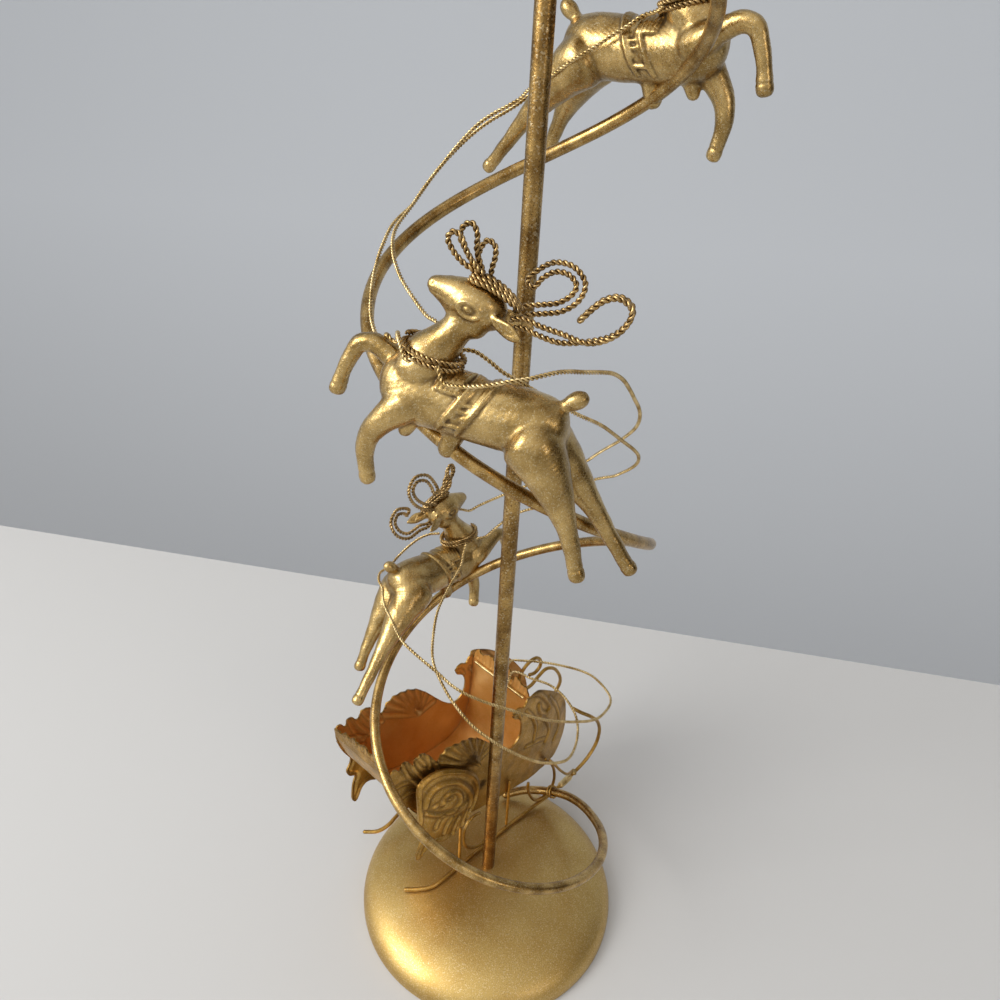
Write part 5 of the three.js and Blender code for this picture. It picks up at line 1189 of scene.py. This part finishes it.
crestRibs = [-0.42, -0.3, -0.18, -0.06, 0.06, 0.18, 0.3, 0.42]
plateRows = [
    (-0.20694, 0.865), (-0.15588, 0.904), (-0.086, 0.909), (0, 0.865), (0.065, 0.788),
    (0.095, 0.692), (0.078, 0.596), (0.017, 0.534), (-0.052, 0.505), (-0.112, 0.505),
    (-0.155, 0.538), (-0.19, 0.529), (-0.228, 0.481), (-0.25, 0.505), (-0.228, 0.577),
    (-0.20398, 0.615), (-0.23876, 0.635), (-0.24838, 0.673), (-0.22026, 0.702), (-0.21656, 0.769),
]
fanFoot = (0.089, 0.808)
fanTips = [
    (-0.095, 0.926), (-0.082, 0.987), (-0.053, 1.02), (-0.022, 1.035), (0.024, 1.019),
    (0.077, 0.971), (0.128, 0.907), (0.165, 0.827),
]
panelLines = [  # places, half width and rise in millimetres
    ([(0.518, 0.882), (0.588, 0.77), (0.629, 0.66), (0.634, 0.571), (0.6, 0.512)], 0.55, 0.5),
    (
        [
            (0.364, 0.998), (0.427, 0.971), (0.497, 0.885), (0.535, 0.803), (0.509, 0.786),
            (0.462, 0.837), (0.45, 0.885),
        ],
        0.7,
        0.7,
    ),
    ([(0.372, 0.905), (0.416, 0.828), (0.445, 0.739), (0.439, 0.664)], 0.6, 0.6),
    ([(0.474, 0.788), (0.524, 0.713), (0.551, 0.628), (0.526, 0.575)], 0.6, 0.6),
    ([(0.286, 0.935), (0.32, 0.922), (0.338, 0.887)], 0.5, 0.4),
    ([(0.387, 0.659), (0.448, 0.643), (0.515, 0.605)], 0.6, 0.5),
    *(([fanFoot, tip], 0.8, 0.45) for tip in fanTips),
    ([(-0.143, 0.938), (-0.167, 0.992)], 0.55, 0.5),
    ([(-0.124, 0.912), (-0.133, 0.988)], 0.55, 0.5),
    ([(-0.092, 0.884), (-0.107, 0.948)], 0.55, 0.5),
    ([(-0.177, 0.844), (-0.213, 0.921), (-0.23, 0.982)], 0.55, 0.5),
    ([(-0.147, 0.856), (-0.183, 0.929), (-0.195, 0.973)], 0.55, 0.5),
    ([(-0.288, 0.901), (-0.229, 0.891), (-0.168, 0.856)], 0.55, 0.5),
    ([(-0.268, 0.83), (-0.221, 0.83), (-0.179, 0.817)], 0.55, 0.5),
]
plateLines = [  # places, half width and rise in millimetres
    (
        [
            (-0.185, 0.763), (-0.166, 0.803), (-0.127, 0.833), (-0.08, 0.836), (-0.032, 0.81),
            (0.007, 0.753), (0.037, 0.669), (0.028, 0.618),
        ],
        0.8,
        0.8,
    ),
    ([(-0.183, 0.728), (-0.141, 0.696), (-0.087, 0.673), (-0.035, 0.662), (0.005, 0.666)], 0.7, 0.6),
    (
        [
            (-0.117, 0.74), (-0.099, 0.765), (-0.063, 0.779), (-0.031, 0.748), (-0.026, 0.7),
            (-0.049, 0.679),
        ],
        0.7,
        0.7,
    ),
    ([(-0.152, 0.744), (-0.117, 0.752), (-0.072, 0.749)], 0.6, 0.5),
    ([(-0.15, 0.625), (-0.134, 0.662), (-0.115, 0.674)], 0.6, 0.5),
    ([(-0.11, 0.56), (-0.094, 0.61), (-0.074, 0.633)], 0.6, 0.5),
    ([(-0.065, 0.518), (-0.049, 0.571), (-0.029, 0.607)], 0.6, 0.5),
    ([(-0.017, 0.519), (-0.002, 0.567), (0.018, 0.601)], 0.6, 0.5),
]
wireSpacing = 0.5
wireSides = 12
plainWires = {  # diameter and places, in millimetres about the rod
    "sleigh_right_runner": (
        2,
        [
            (-39.6, -15.9, 17.4), (-32.5, -15.7, 18.2), (-26.1, -14.2, 18.9), (-20.4, -9.3, 19.6),
            (-14.9, -3.4, 19.7), (-2.6, 9.7, 19.7), (7.6, 20.7, 19.6), (17.8, 31.7, 18.6),
            (24.6, 39, 17.6), (29.4, 44.1, 16.7), (36.9, 52.2, 16.8), (45.1, 61, 18.4),
            (51.9, 68.3, 21.4), (56.7, 73.4, 28), (58, 74.8, 37),
            (55.7, 72.3, 47), (50.6, 66.8, 56),
            (44.5, 64.1, 61.2), (39.2, 63.5, 64.7),
        ],
    ),
    "sleigh_right_rear_leg": (1.5, [(-14.3, -2.5, 21), (-14.3, -2.5, 41.2), (-14.3, -2.5, 61.4)]),
    "sleigh_right_front_leg": (1.5, [(7.9, 21.3, 20.8), (7.9, 21.3, 37.5), (7.9, 21.3, 54.1)]),
    "sleigh_right_front_scroll": (
        1.6,
        [
            (25.9, 40.6, 50), (30, 45, 41.5), (32.4, 47.6, 31.5),
            (32.4, 47.6, 24), (30.3, 45.3, 19.6),
            (26.6, 41.3, 19.2), (22.8, 37.3, 21.8), (19.4, 33.6, 29.8), (17.9, 32, 37.5),
            (17.9, 32, 41.5),
        ],
    ),
    "sleigh_right_rear_scroll": (
        1.6,
        [
            (-5.4, 7, 47.5), (-9.2, 2.9, 48.5), (-12, -0.1, 45),
            (-12.7, -0.8, 38), (-11.6, 0.3, 30.6),
            (-8.5, 3.7, 25.2), (-4.8, 7.6, 22.6), (-1, 11.7, 23.4),
        ],
    ),
    "sleigh_left_runner": (
        2,
        [
            (-65.6, 14.4, 16.3), (-57.9, 15, 17), (-53.1, 18.1, 18.1), (-49.7, 22.7, 19.3),
            (-45.5, 28.3, 19.7), (-34.8, 39.8, 19.7), (-24.6, 50.7, 19.6), (-14.3, 61.7, 18.6),
            (-7.5, 69, 17.6), (0.4, 77.5, 16.7), (9, 85.3, 17.3),
            (18.4, 92.4, 21.3), (27.3, 98.4, 29.6),
            (33.2, 101.6, 39.5), (35.3, 101.5, 47.8), (33.8, 98.7, 56.2), (29.8, 94.4, 64),
            (25.1, 89.4, 67.4), (21.1, 85.1, 65.5), (17.2, 80.9, 62.4), (12.4, 75.8, 63.4),
            (10.2, 73.4, 69.7), (10.9, 74.1, 76.4), (14.2, 77.6, 80.8), (18.4, 82.1, 81.3),
            (21.3, 85.3, 77.5), (21.5, 85.5, 72.8), (18.8, 82.6, 70.4), (15.2, 78.7, 71.8),
        ],
    ),
    "sleigh_left_rear_leg": (1.5, [(-46.3, 27.3, 21), (-46.3, 27.3, 41.2), (-46.3, 27.3, 61.4)]),
    "sleigh_left_front_leg": (1.5, [(-24, 51.1, 20.8), (-24, 51.1, 37.5), (-24, 51.1, 54.1)]),
    "sleigh_left_front_scroll": (
        1.6,
        [
            (-6.1, 70.4, 50), (-2, 74.8, 41.5), (0.5, 77.4, 31.5),
            (0.5, 77.4, 24), (-1.6, 75.1, 19.6),
            (-5.4, 71.1, 19.2), (-9.2, 67.1, 21.8), (-12.6, 63.4, 29.8), (-14.1, 61.8, 37.5),
            (-14.1, 61.8, 41.5),
        ],
    ),
    "sleigh_left_rear_scroll": (
        1.6,
        [
            (-37.4, 36.8, 47.5), (-41.2, 32.7, 48.5), (-44, 29.7, 45), (-44.7, 29, 38),
            (-43.6, 30.1, 30.6), (-40.4, 33.5, 25.2), (-36.8, 37.4, 22.6), (-33, 41.5, 23.4),
        ],
    ),
    "front_brace": (
        1.5,
        [
            (28.1, 39, 51), (31.2, 42.4, 44.4), (35.9, 47.4, 33.9),
            (39.9, 51.7, 27), (43.5, 59.3, 21),
        ],
    ),
    "runner_binding": (
        1,
        [
            (29.2, 39.7, 23.3), (28.9, 40.4, 25), (29.3, 41.9, 26.1), (30.2, 43.5, 26.1),
            (31.4, 44.6, 25.2), (32.4, 44.7, 23.7), (32.9, 43.8, 22.1), (32.7, 42.3, 21.2),
            (32, 40.5, 21.3), (31.1, 39.4, 22.3), (30.4, 39.1, 24), (30.1, 39.8, 25.7),
            (30.6, 41.3, 26.7), (31.6, 42.8, 26.8), (32.8, 43.8, 25.9), (33.8, 43.9, 24.3),
            (34.3, 43, 22.8), (34.1, 41.4, 21.9), (33.3, 39.8, 22),
            (32.3, 38.6, 23), (31.5, 38.4, 24.7),
        ],
    ),
    "rein_rail": (1.6, [(-13.8, 56, 99.3), (-0.9, 43.9, 99.3), (12, 31.8, 99.3)]),
}


def sleighPlace(s, t, z):  # from the sleigh's frame to the rod's: turned by the heading and moved
    heading = math.radians(sleighSettings["heading"])
    x = -sleighSettings["back"] + s * math.cos(heading) + t * math.sin(heading)
    y = sleighSettings["side"] + s * math.sin(heading) - t * math.cos(heading)
    return np.stack([x, y, z + 0 * x], -1)


def bodyPlace(s, t, z):  # the same, with the rear end rolled about the long axis by a growing turn
    rear = np.clip(-s / (sleighSettings["twistReach"] * sleighSettings["length"]), 0, 1)
    turn = math.radians(sleighSettings["rearTwist"]) * rear
    above = z - sleighSettings["twistAxis"] * sleighSettings["height"]
    across = t * np.cos(turn) - above * np.sin(turn)
    return sleighPlace(s, across, z - above + above * np.cos(turn) + t * np.sin(turn))


def panelReach(s):  # how far out a side panel stands, less where its front end is bent in
    share = s / sleighSettings["length"]
    bend = np.interp(share, [row[0] for row in foldRows], [row[1] for row in foldRows])
    return sleighSettings["halfWidth"] - sleighSettings["frontCurl"] * bend


def sleighSize(rows):  # shares of the length and the height, in millimetres
    return np.array(rows, float) * [sleighSettings["length"], sleighSettings["height"]]


def cutCorners(outline, times):  # each side of a closed outline kept but for a share at both ends
    cut = sleighSettings["cornerCut"]
    for _ in range(times):
        after = np.roll(outline, -1, axis=0)
        first, last = outline * (1 - cut) + after * cut, outline * cut + after * (1 - cut)
        outline = np.stack([first, last], 1).reshape(-1, 2)
    return outline


# Distance to the nearest of some segments, and the place there
def nearestOn(points, starts, ends):
    best = np.full(len(points), 1e9)
    place = np.zeros_like(points)
    for a, b in zip(starts, ends):
        step = b - a
        share = np.clip(((points - a) @ step) / max(step @ step, 1e-9), 0, 1)
        near = a + share[:, None] * step
        away = np.linalg.norm(points - near, axis=1)
        closer = away < best
        best[closer] = away[closer]
        place[closer] = near[closer]
    return best, place


# Whether a ray from each point crosses the outline an odd number of times
def isInside(points, outline):
    crossings = np.zeros(len(points), int)
    for a, b in zip(outline, np.roll(outline, -1, axis=0)):
        if a[1] == b[1]:
            continue
        straddles = (a[1] > points[:, 1]) != (b[1] > points[:, 1])
        meets = (b[0] - a[0]) * (points[:, 1] - a[1]) / (b[1] - a[1]) + a[0]
        crossings += straddles & (points[:, 0] < meets)
    return crossings % 2 == 1


# The stamp's height over the sheet: a rolled rim and the ridges, each an exponential of the
# squared distance over its width, less a groove beside each ridge, and a slow wave of sines.
def reliefAt(points, edge, lines, settings):
    height = settings["rim"] * ring(edge, settings["rimPlace"], settings["rimWidth"])
    groove = np.zeros(len(points))
    out, narrow = settings["grooveShape"]
    for rows, width, rise in lines:
        rows = np.asarray(rows, float)
        away, _ = nearestOn(points, rows[:-1], rows[1:])
        height += rise * np.exp(-((away / width) ** 2))
        groove = np.maximum(groove, ring(away, out * width, narrow * width))
    u, v = points.T
    wave = np.sin(u / 3.1 + 1) * np.sin(v / 3.7) + 0.5 * np.sin(u / 1.3) * np.sin(v / 1.7)
    return height - settings["grooveDepth"] * groove + settings["unevenness"] * wave, groove


def scorched(points, settings):  # the browned paint round each soldered joint, ragged at its edge
    burn = np.zeros(len(points))
    for s, z, reach in settings["burnt"]:
        away = np.linalg.norm(points - sleighSize([(s, z)])[0], axis=1) / reach
        ragged = 0.25 * np.sin(points[:, 0] * 1.9) * np.sin(points[:, 1] * 2.3 + 1)
        burn = np.maximum(burn, np.clip(settings["burntCore"] - away + ragged, 0, 1))
    return burn


# A grid of cells inside the outline, its border points moved onto the outline. The relief moves
# one skin, a second lies a sheet's thickness out, and a wall joins them along the border.
def stampedSheet(outline, lines, settings, carry):
    cell = sleighSettings["cell"]
    low, high = outline.min(0) - cell, outline.max(0) + cell
    u = np.arange(low[0], high[0] + cell, cell)
    v = np.arange(low[1], high[1] + cell, cell)
    points = np.stack(np.meshgrid(u, v, indexing="ij"), -1).reshape(-1, 2)
    cells = gridFaces(len(u), len(v), wrapColumns=False)
    kept = cells[isInside(points[cells].mean(1), outline)]
    sides = sidesOf(kept)
    found = np.unique(np.sort(sides, axis=1), axis=0, return_index=True, return_counts=True)
    border = sides[found[1][found[2] == 1]]  # sides that only one cell has
    used, index = np.unique(kept, return_inverse=True)
    kept = index.reshape(kept.shape)
    border = np.searchsorted(used, border)
    points = points[used]
    edge, nearest = nearestOn(points, outline, np.roll(outline, -1, axis=0))
    rim = np.unique(border)
    points[rim] = nearest[rim]
    edge[rim] = 0
    height, groove = reliefAt(points, edge, lines, settings)
    u, v = points.T
    skins = [carry(u, v, height + depth) for depth in (0.0, settings["sheet"])]
    count = len(points)
    first, last = border.T
    walls = np.column_stack([first, last, last + count, first + count])
    faces = np.vstack([kept, kept[:, ::-1] + count, walls[:, ::-1]])
    kinds = np.concatenate([np.ones(len(kept)), np.zeros(len(kept) + len(walls))])
    # painted shade in the grooves beside the ridges, and a darker band along the edge; the outside also
    # gets the browned joints
    share, place, width = settings["edgeDarkening"]
    shadeAndDarkMarks = np.clip(groove * settings["grooveShadeShare"] + share * ring(edge, place, width), 0, 1)
    outside = np.maximum(shadeAndDarkMarks, scorched(points, settings))
    return np.vstack(skins), faces, np.concatenate([shadeAndDarkMarks * settings["insideDarkShare"], outside]), kinds


def sized(lines):  # relief lines from shares to millimetres, curved through their places
    sizes = []
    for rows, width, rise in lines:
        rows = np.column_stack([sleighSize(rows), np.zeros(len(rows))])
        line, _ = smoothLine(rows, reliefSettings["spacing"])
        sizes.append((line[:, :2], reliefSettings["widen"] * width, reliefSettings["raise"] * rise))
    return sizes


reliefSettings = {"widen": 1.5, "raise": 1.15, "spacing": 1.2}
panelSettings = {
    "sheet": sleighSettings["panelSheet"],
    "rim": 0.12,
    "rimPlace": 0.7,
    "rimWidth": 0.5,
    "grooveDepth": 0.22,
    "grooveShape": (1.5, 0.8),  # its distance and width, in widths of the ridge
    "unevenness": 0.14,
    "grooveShadeShare": 0.5,
    "edgeDarkening": (0.35, 0.1, 0.5),  # share, distance from the edge and width
    "insideDarkShare": 0.9,
    "burnt": [(0.06, 0.85, 4.6), (0.13, 0.63, 3.2)],  # place in shares, and reach in mm
    "burntCore": 1.35,
}
plateSettings = {
    **panelSettings,
    "sheet": sleighSettings["plateSheet"],
    "rim": 0.75,
    "rimPlace": 1.5,
    "rimWidth": 0.8,
    "grooveDepth": 0.4,
    "burnt": [(0.085, 0.62, 2.0)],
}
tubSettings = {
    **panelSettings,
    "sheet": sleighSettings["tubSheet"],
    "rim": 0.0,
    "grooveDepth": 0.1,
    "unevenness": 0.1,
    "insideDarkShare": 0.5,
    "burnt": [],
    "halfSheet": 0.35,
    "crests": [(dashCrestRows, -1, 0.12), (rearCrestRows, 0, 0.02)],  # end of the strip, and lean
    "ribs": (1.5, 8.0, 1.04),  # from and to above the fold, and how they spread
    "ribSize": (0.8, 0.35),
}


def addSheet(name, sheet, materials, slot, node):  # a stamped sheet as a piece
    points, faces, values, kinds = sheet
    looks = {"values": values, "kinds": kinds, "sharp": sleighSettings["sharp"]}
    return addPiece(name, (points, faces), materials, slot, node, **looks)


plateIn = sleighSettings["halfWidth"] + sleighSettings["panelSheet"] + sleighSettings["plateStand"]
plateOutline = sleighSize(plateRows)
plateMiddle = plateOutline.mean(0)
plateReach = np.linalg.norm(plateOutline - plateMiddle, axis=1).max()
for side, name in ((1, "right"), (-1, "left")):

    def onPanel(s, z, depth):
        return bodyPlace(s, side * (panelReach(s) + depth), z)

    def onPlate(s, z, depth):  # the plate is domed: its lift falls with the squared distance
        away = np.hypot(s - plateMiddle[0], z - plateMiddle[1]) / plateReach
        lift = sleighSettings["plateBulge"] * np.clip(1 - away**2, 0, 1)
        return bodyPlace(s, side * (plateIn + lift + depth), z)

    outline = cutCorners(sleighSize(panelRows), 2)
    sheet = stampedSheet(outline, sized(panelLines), panelSettings, onPanel)
    node = "sleigh_" + name + "_panel"
    addSheet("leafPanel" + name.title(), sheet, [sheetGold, copperLacquer], "gold_paint", node)
    outline = cutCorners(plateOutline, 3)
    sheet = stampedSheet(outline, sized(plateLines), plateSettings, onPlate)
    node = "sleigh_" + name + "_scroll_plate"
    addSheet("scrollPlate" + name.title(), sheet, [sheetGold, sheetGold], "dark_gold_paint", node)
print("sleigh panels and plates made")

# Tub: a strip bent from the rear lip over the floor to the dash, a leaf-cut crest at each end

stripRowsSized = np.column_stack([sleighSize(stripRows), np.zeros(len(stripRows))])
stripLine, stripWay = smoothLine(stripRowsSized, wireSpacing)
stripAlong = unit(np.gradient(stripLine[:, :2], axis=0))
halfStrip = sleighSettings["halfWidth"] - sleighSettings["gap"]


def onStrip(way, across, depth):  # a place along the strip, moved out square to it
    s, z = (np.interp(way, stripWay, stripLine[:, k]) for k in (0, 1))
    alongS, alongZ = (np.interp(way, stripWay, stripAlong[:, k]) for k in (0, 1))
    out = tubSettings["halfSheet"] - depth
    return bodyPlace(s - alongZ * out, across, z + alongS * out)


stripEnd = stripWay[-1]
rectangle = [(0, -halfStrip), (stripEnd, -halfStrip), (stripEnd, halfStrip), (0, halfStrip)]
tubSheets = [stampedSheet(np.array(rectangle), [], tubSettings, onStrip)]
ribFrom, ribTo, ribSpread = tubSettings["ribs"]
for rows, end, lean in tubSettings["crests"]:
    footS, footZ = stripLine[end][:2]
    crestOutline = cutCorners(np.array(rows) * [2 * halfStrip, sleighSettings["height"]], 2)
    sign = 1 if end else -1

    def onCrest(across, z, depth):  # a leaning plane above the strip's end
        out = sign * (depth - tubSettings["halfSheet"])
        return bodyPlace(footS + (z - footZ) * lean + out, across, z)

    ribs = []
    for x in 2 * halfStrip * np.array(crestRibs):
        rib = [(x, footZ + ribFrom), (x * ribSpread, footZ + ribTo)]
        ribs.append((rib, *tubSettings["ribSize"]))
    tubSheets.append(stampedSheet(crestOutline, ribs, tubSettings, onCrest))
addSheet("sleighTub", joined(tubSheets), [sheetGold, copperLacquer], "copper_paint", "sleigh_tub")
print("sleigh tub made")

# Plain wires: runners, legs, scrolls, brace, rail and binding

ferruleSettings = {"from": 0.565, "to": 0.625, "radius": 1.75, "sides": 20}  # shares of the runner
for name, (wireSize, rows) in plainWires.items():
    line, way = smoothLine(rows, wireSpacing)
    pale = name == "rein_rail"
    material, slot = (wireGold, "pale_gold_paint") if pale else (sheetGold, "gold_paint")
    shape = roundedTube(line, way, wireSize / 2, wireSides)
    addPiece(name + "Wire", shape, material, slot, name)
    if name == "sleigh_right_runner":
        share = way / way[-1]
        reach = (share > ferruleSettings["from"]) & (share < ferruleSettings["to"])
        radius, sides = ferruleSettings["radius"], ferruleSettings["sides"]
        ferrule = roundedTube(line[reach], way[reach] - way[reach][0], radius, sides)
        addPiece("runnerSleeve", ferrule, wireGold, "gold_paint", "runner_ferrule")

# Soft solder where the ferrule meets the binding: a small smooth run in the cast gold lacquer, without
# the torch's browning

solderSettings = {"place": (44.5, 60.2, 19.2), "size": (1.9, 1.7, 1.5), "rings": 16, "sides": 18}


def solderRun(settings):  # a ball whose radius swells by two sines, flattened to the sizes
    angle = np.linspace(0, math.pi, settings["rings"])
    around = fullTurn * np.arange(settings["sides"]) / settings["sides"]
    x = np.sin(angle)[:, None] * np.cos(around)
    y = np.sin(angle)[:, None] * np.sin(around)
    z = np.repeat(np.cos(angle)[:, None], settings["sides"], 1)
    place = np.array(settings["place"])
    swell = 1 + 0.1 * np.sin(3 * x + 2 * z + place[0]) + 0.08 * np.cos(4 * y + place[1])
    points = np.stack([x, y, z], -1).reshape(-1, 3) * swell.reshape(-1, 1) * settings["size"]
    return points + place, gridFaces(settings["rings"], settings["sides"])


addPiece("solderRuns", solderRun(solderSettings), castGold, "gold_paint")
print("wires and solder made")

# The washer and nuts keep their CAD shape and get the zinc
for name in ("base_washer", "base_nut", "cup_nut"):
    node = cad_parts[name]
    if not node.material_slots:
        node.data.materials.append(None)
    for slot in node.material_slots:
        slot.material = zincSteel

# Stage: a plain pale floor and wall, with soft light from the front left

stageSettings = {
    "floor": "#C9C8C6",
    "wall": "#CACFD5",
    "wallFrom": (-322.8, 282.2),  # two places of the line where the floor ends before the wall
    "wallTo": (270.8, 194.2),
    "wallBehind": 1600.0,  # how far behind the floor's end it stands, clear of a camera at the back
    "halfWidth": 6000.0,
    "front": 6000.0,
    "floorDrop": 0.3,
    "brightSide": (-0.8, -0.45, 0.6),
    "window": "#F6F8FB",
    "windowLight": 1.3,
    "dim": "#C9B79F",
    "dimLight": 0.12,
    "glowRange": (-0.5, 0.9),  # cosine of the angle from the bright side, dim and bright
}
lampSettings = {
    "keyLight": {"place": (-1000, -500, 800), "size": 620, "watts": 11.0, "colour": "#FFFEFC"},
    "fillLight": {"place": (900, -1000, 700), "size": 400, "watts": 1.5, "colour": "#FFF4E8"},
}
lampAim = (0, 0, 200)


def plainPaint(name, colour):  # a dull even paint
    material, tree = startMaterial(name)
    values = {"Base Color": linear(colour), "Roughness": 0.8, "Specular IOR Level": 0.2}
    shader = addNode(tree, "BsdfPrincipled", values)
    addNode(tree, "OutputMaterial", {"Surface": shader.outputs[0]})
    return material


def stagePlane(name, corners, colour):  # a flat face of the given corners, in a plain paint
    mesh = bpy.data.meshes.new(name)
    points = np.array(corners, float) / perMetre + rodAxis
    mesh.from_pydata(points.tolist(), [], [[0, 1, 2, 3]])
    mesh.materials.append(plainPaint(name + "Paint", colour))
    thing = bpy.data.objects.new(name, mesh)
    bpy.context.collection.objects.link(thing)


wallStart, wallEnd = np.array(stageSettings["wallFrom"]), np.array(stageSettings["wallTo"])
wallStep = unit(wallEnd - wallStart)
towardsWall = np.array([-wallStep[1], wallStep[0]])
half, front, behind = (stageSettings[key] for key in ("halfWidth", "front", "wallBehind"))
corners = [wallStart - wallStep * half, wallStart + wallStep * half]
corners += [corner - towardsWall * front for corner in corners[::-1]]
floorCorners = [(*corner, -stageSettings["floorDrop"]) for corner in corners]
stagePlane("floor", floorCorners, stageSettings["floor"])
feet = [wallStart + towardsWall * behind + wallStep * side * half for side in (-1, 1)]
wallCorners = [(*feet[0], -half), (*feet[1], -half), (*feet[1], half), (*feet[0], half)]
stagePlane("wall", wallCorners, stageSettings["wall"])


def softLamp(name, settings, aim):  # a square area lamp at the place, facing the aim
    data = bpy.data.lights.new(name, "AREA")
    data.shape, data.size, data.energy = "SQUARE", settings["size"] / perMetre, settings["watts"]
    data.color = linear(settings["colour"])[:3]
    lamp = bpy.data.objects.new(name, data)
    bpy.context.collection.objects.link(lamp)
    place = np.array(settings["place"], float)
    back = unit(place - np.array(aim, float))
    side = unit(np.cross((0.0, 0.0, 1.0), back))
    columns = np.column_stack([side, np.cross(back, side), back, place / perMetre + rodAxis])
    lamp.matrix_world = Matrix([list(row) for row in columns] + [[0, 0, 0, 1]])


for name, settings in lampSettings.items():
    softLamp(name, settings, lampAim)


# A bright window side at the front left and a dim warm room on the other sides: colour and
# strength follow the cosine of the angle from the bright side.
def softRoom(settings):
    world = bpy.data.worlds.new("softRoom")
    bpy.context.scene.world = world
    world.use_nodes = True
    tree = world.node_tree
    tree.nodes.clear()
    around = addNode(tree, "TexCoord").outputs["Generated"]
    inputs = {0: around, 1: tuple(unit(np.array(settings["brightSide"])))}
    towards = addNode(tree, "VectorMath", inputs, operation="DOT_PRODUCT").outputs["Value"]
    low, high = settings["glowRange"]
    inputs = {"Value": towards, "From Min": low, "From Max": high, "To Min": 0.0, "To Max": 1.0}
    share = addNode(tree, "MapRange", inputs).outputs[0]
    inputs = {0: share, 6: linear(settings["dim"]), 7: linear(settings["window"])}
    glow = addNode(tree, "Mix", inputs, data_type="RGBA").outputs[2]
    inputs = {"Value": share, "To Min": settings["dimLight"], "To Max": settings["windowLight"]}
    strength = addNode(tree, "MapRange", inputs).outputs[0]
    light = addNode(tree, "Background", {"Color": glow, "Strength": strength})
    addNode(tree, "OutputWorld", {"Surface": light.outputs[0]})


softRoom(stageSettings)
bpy.context.scene.view_settings.view_transform = "Standard"
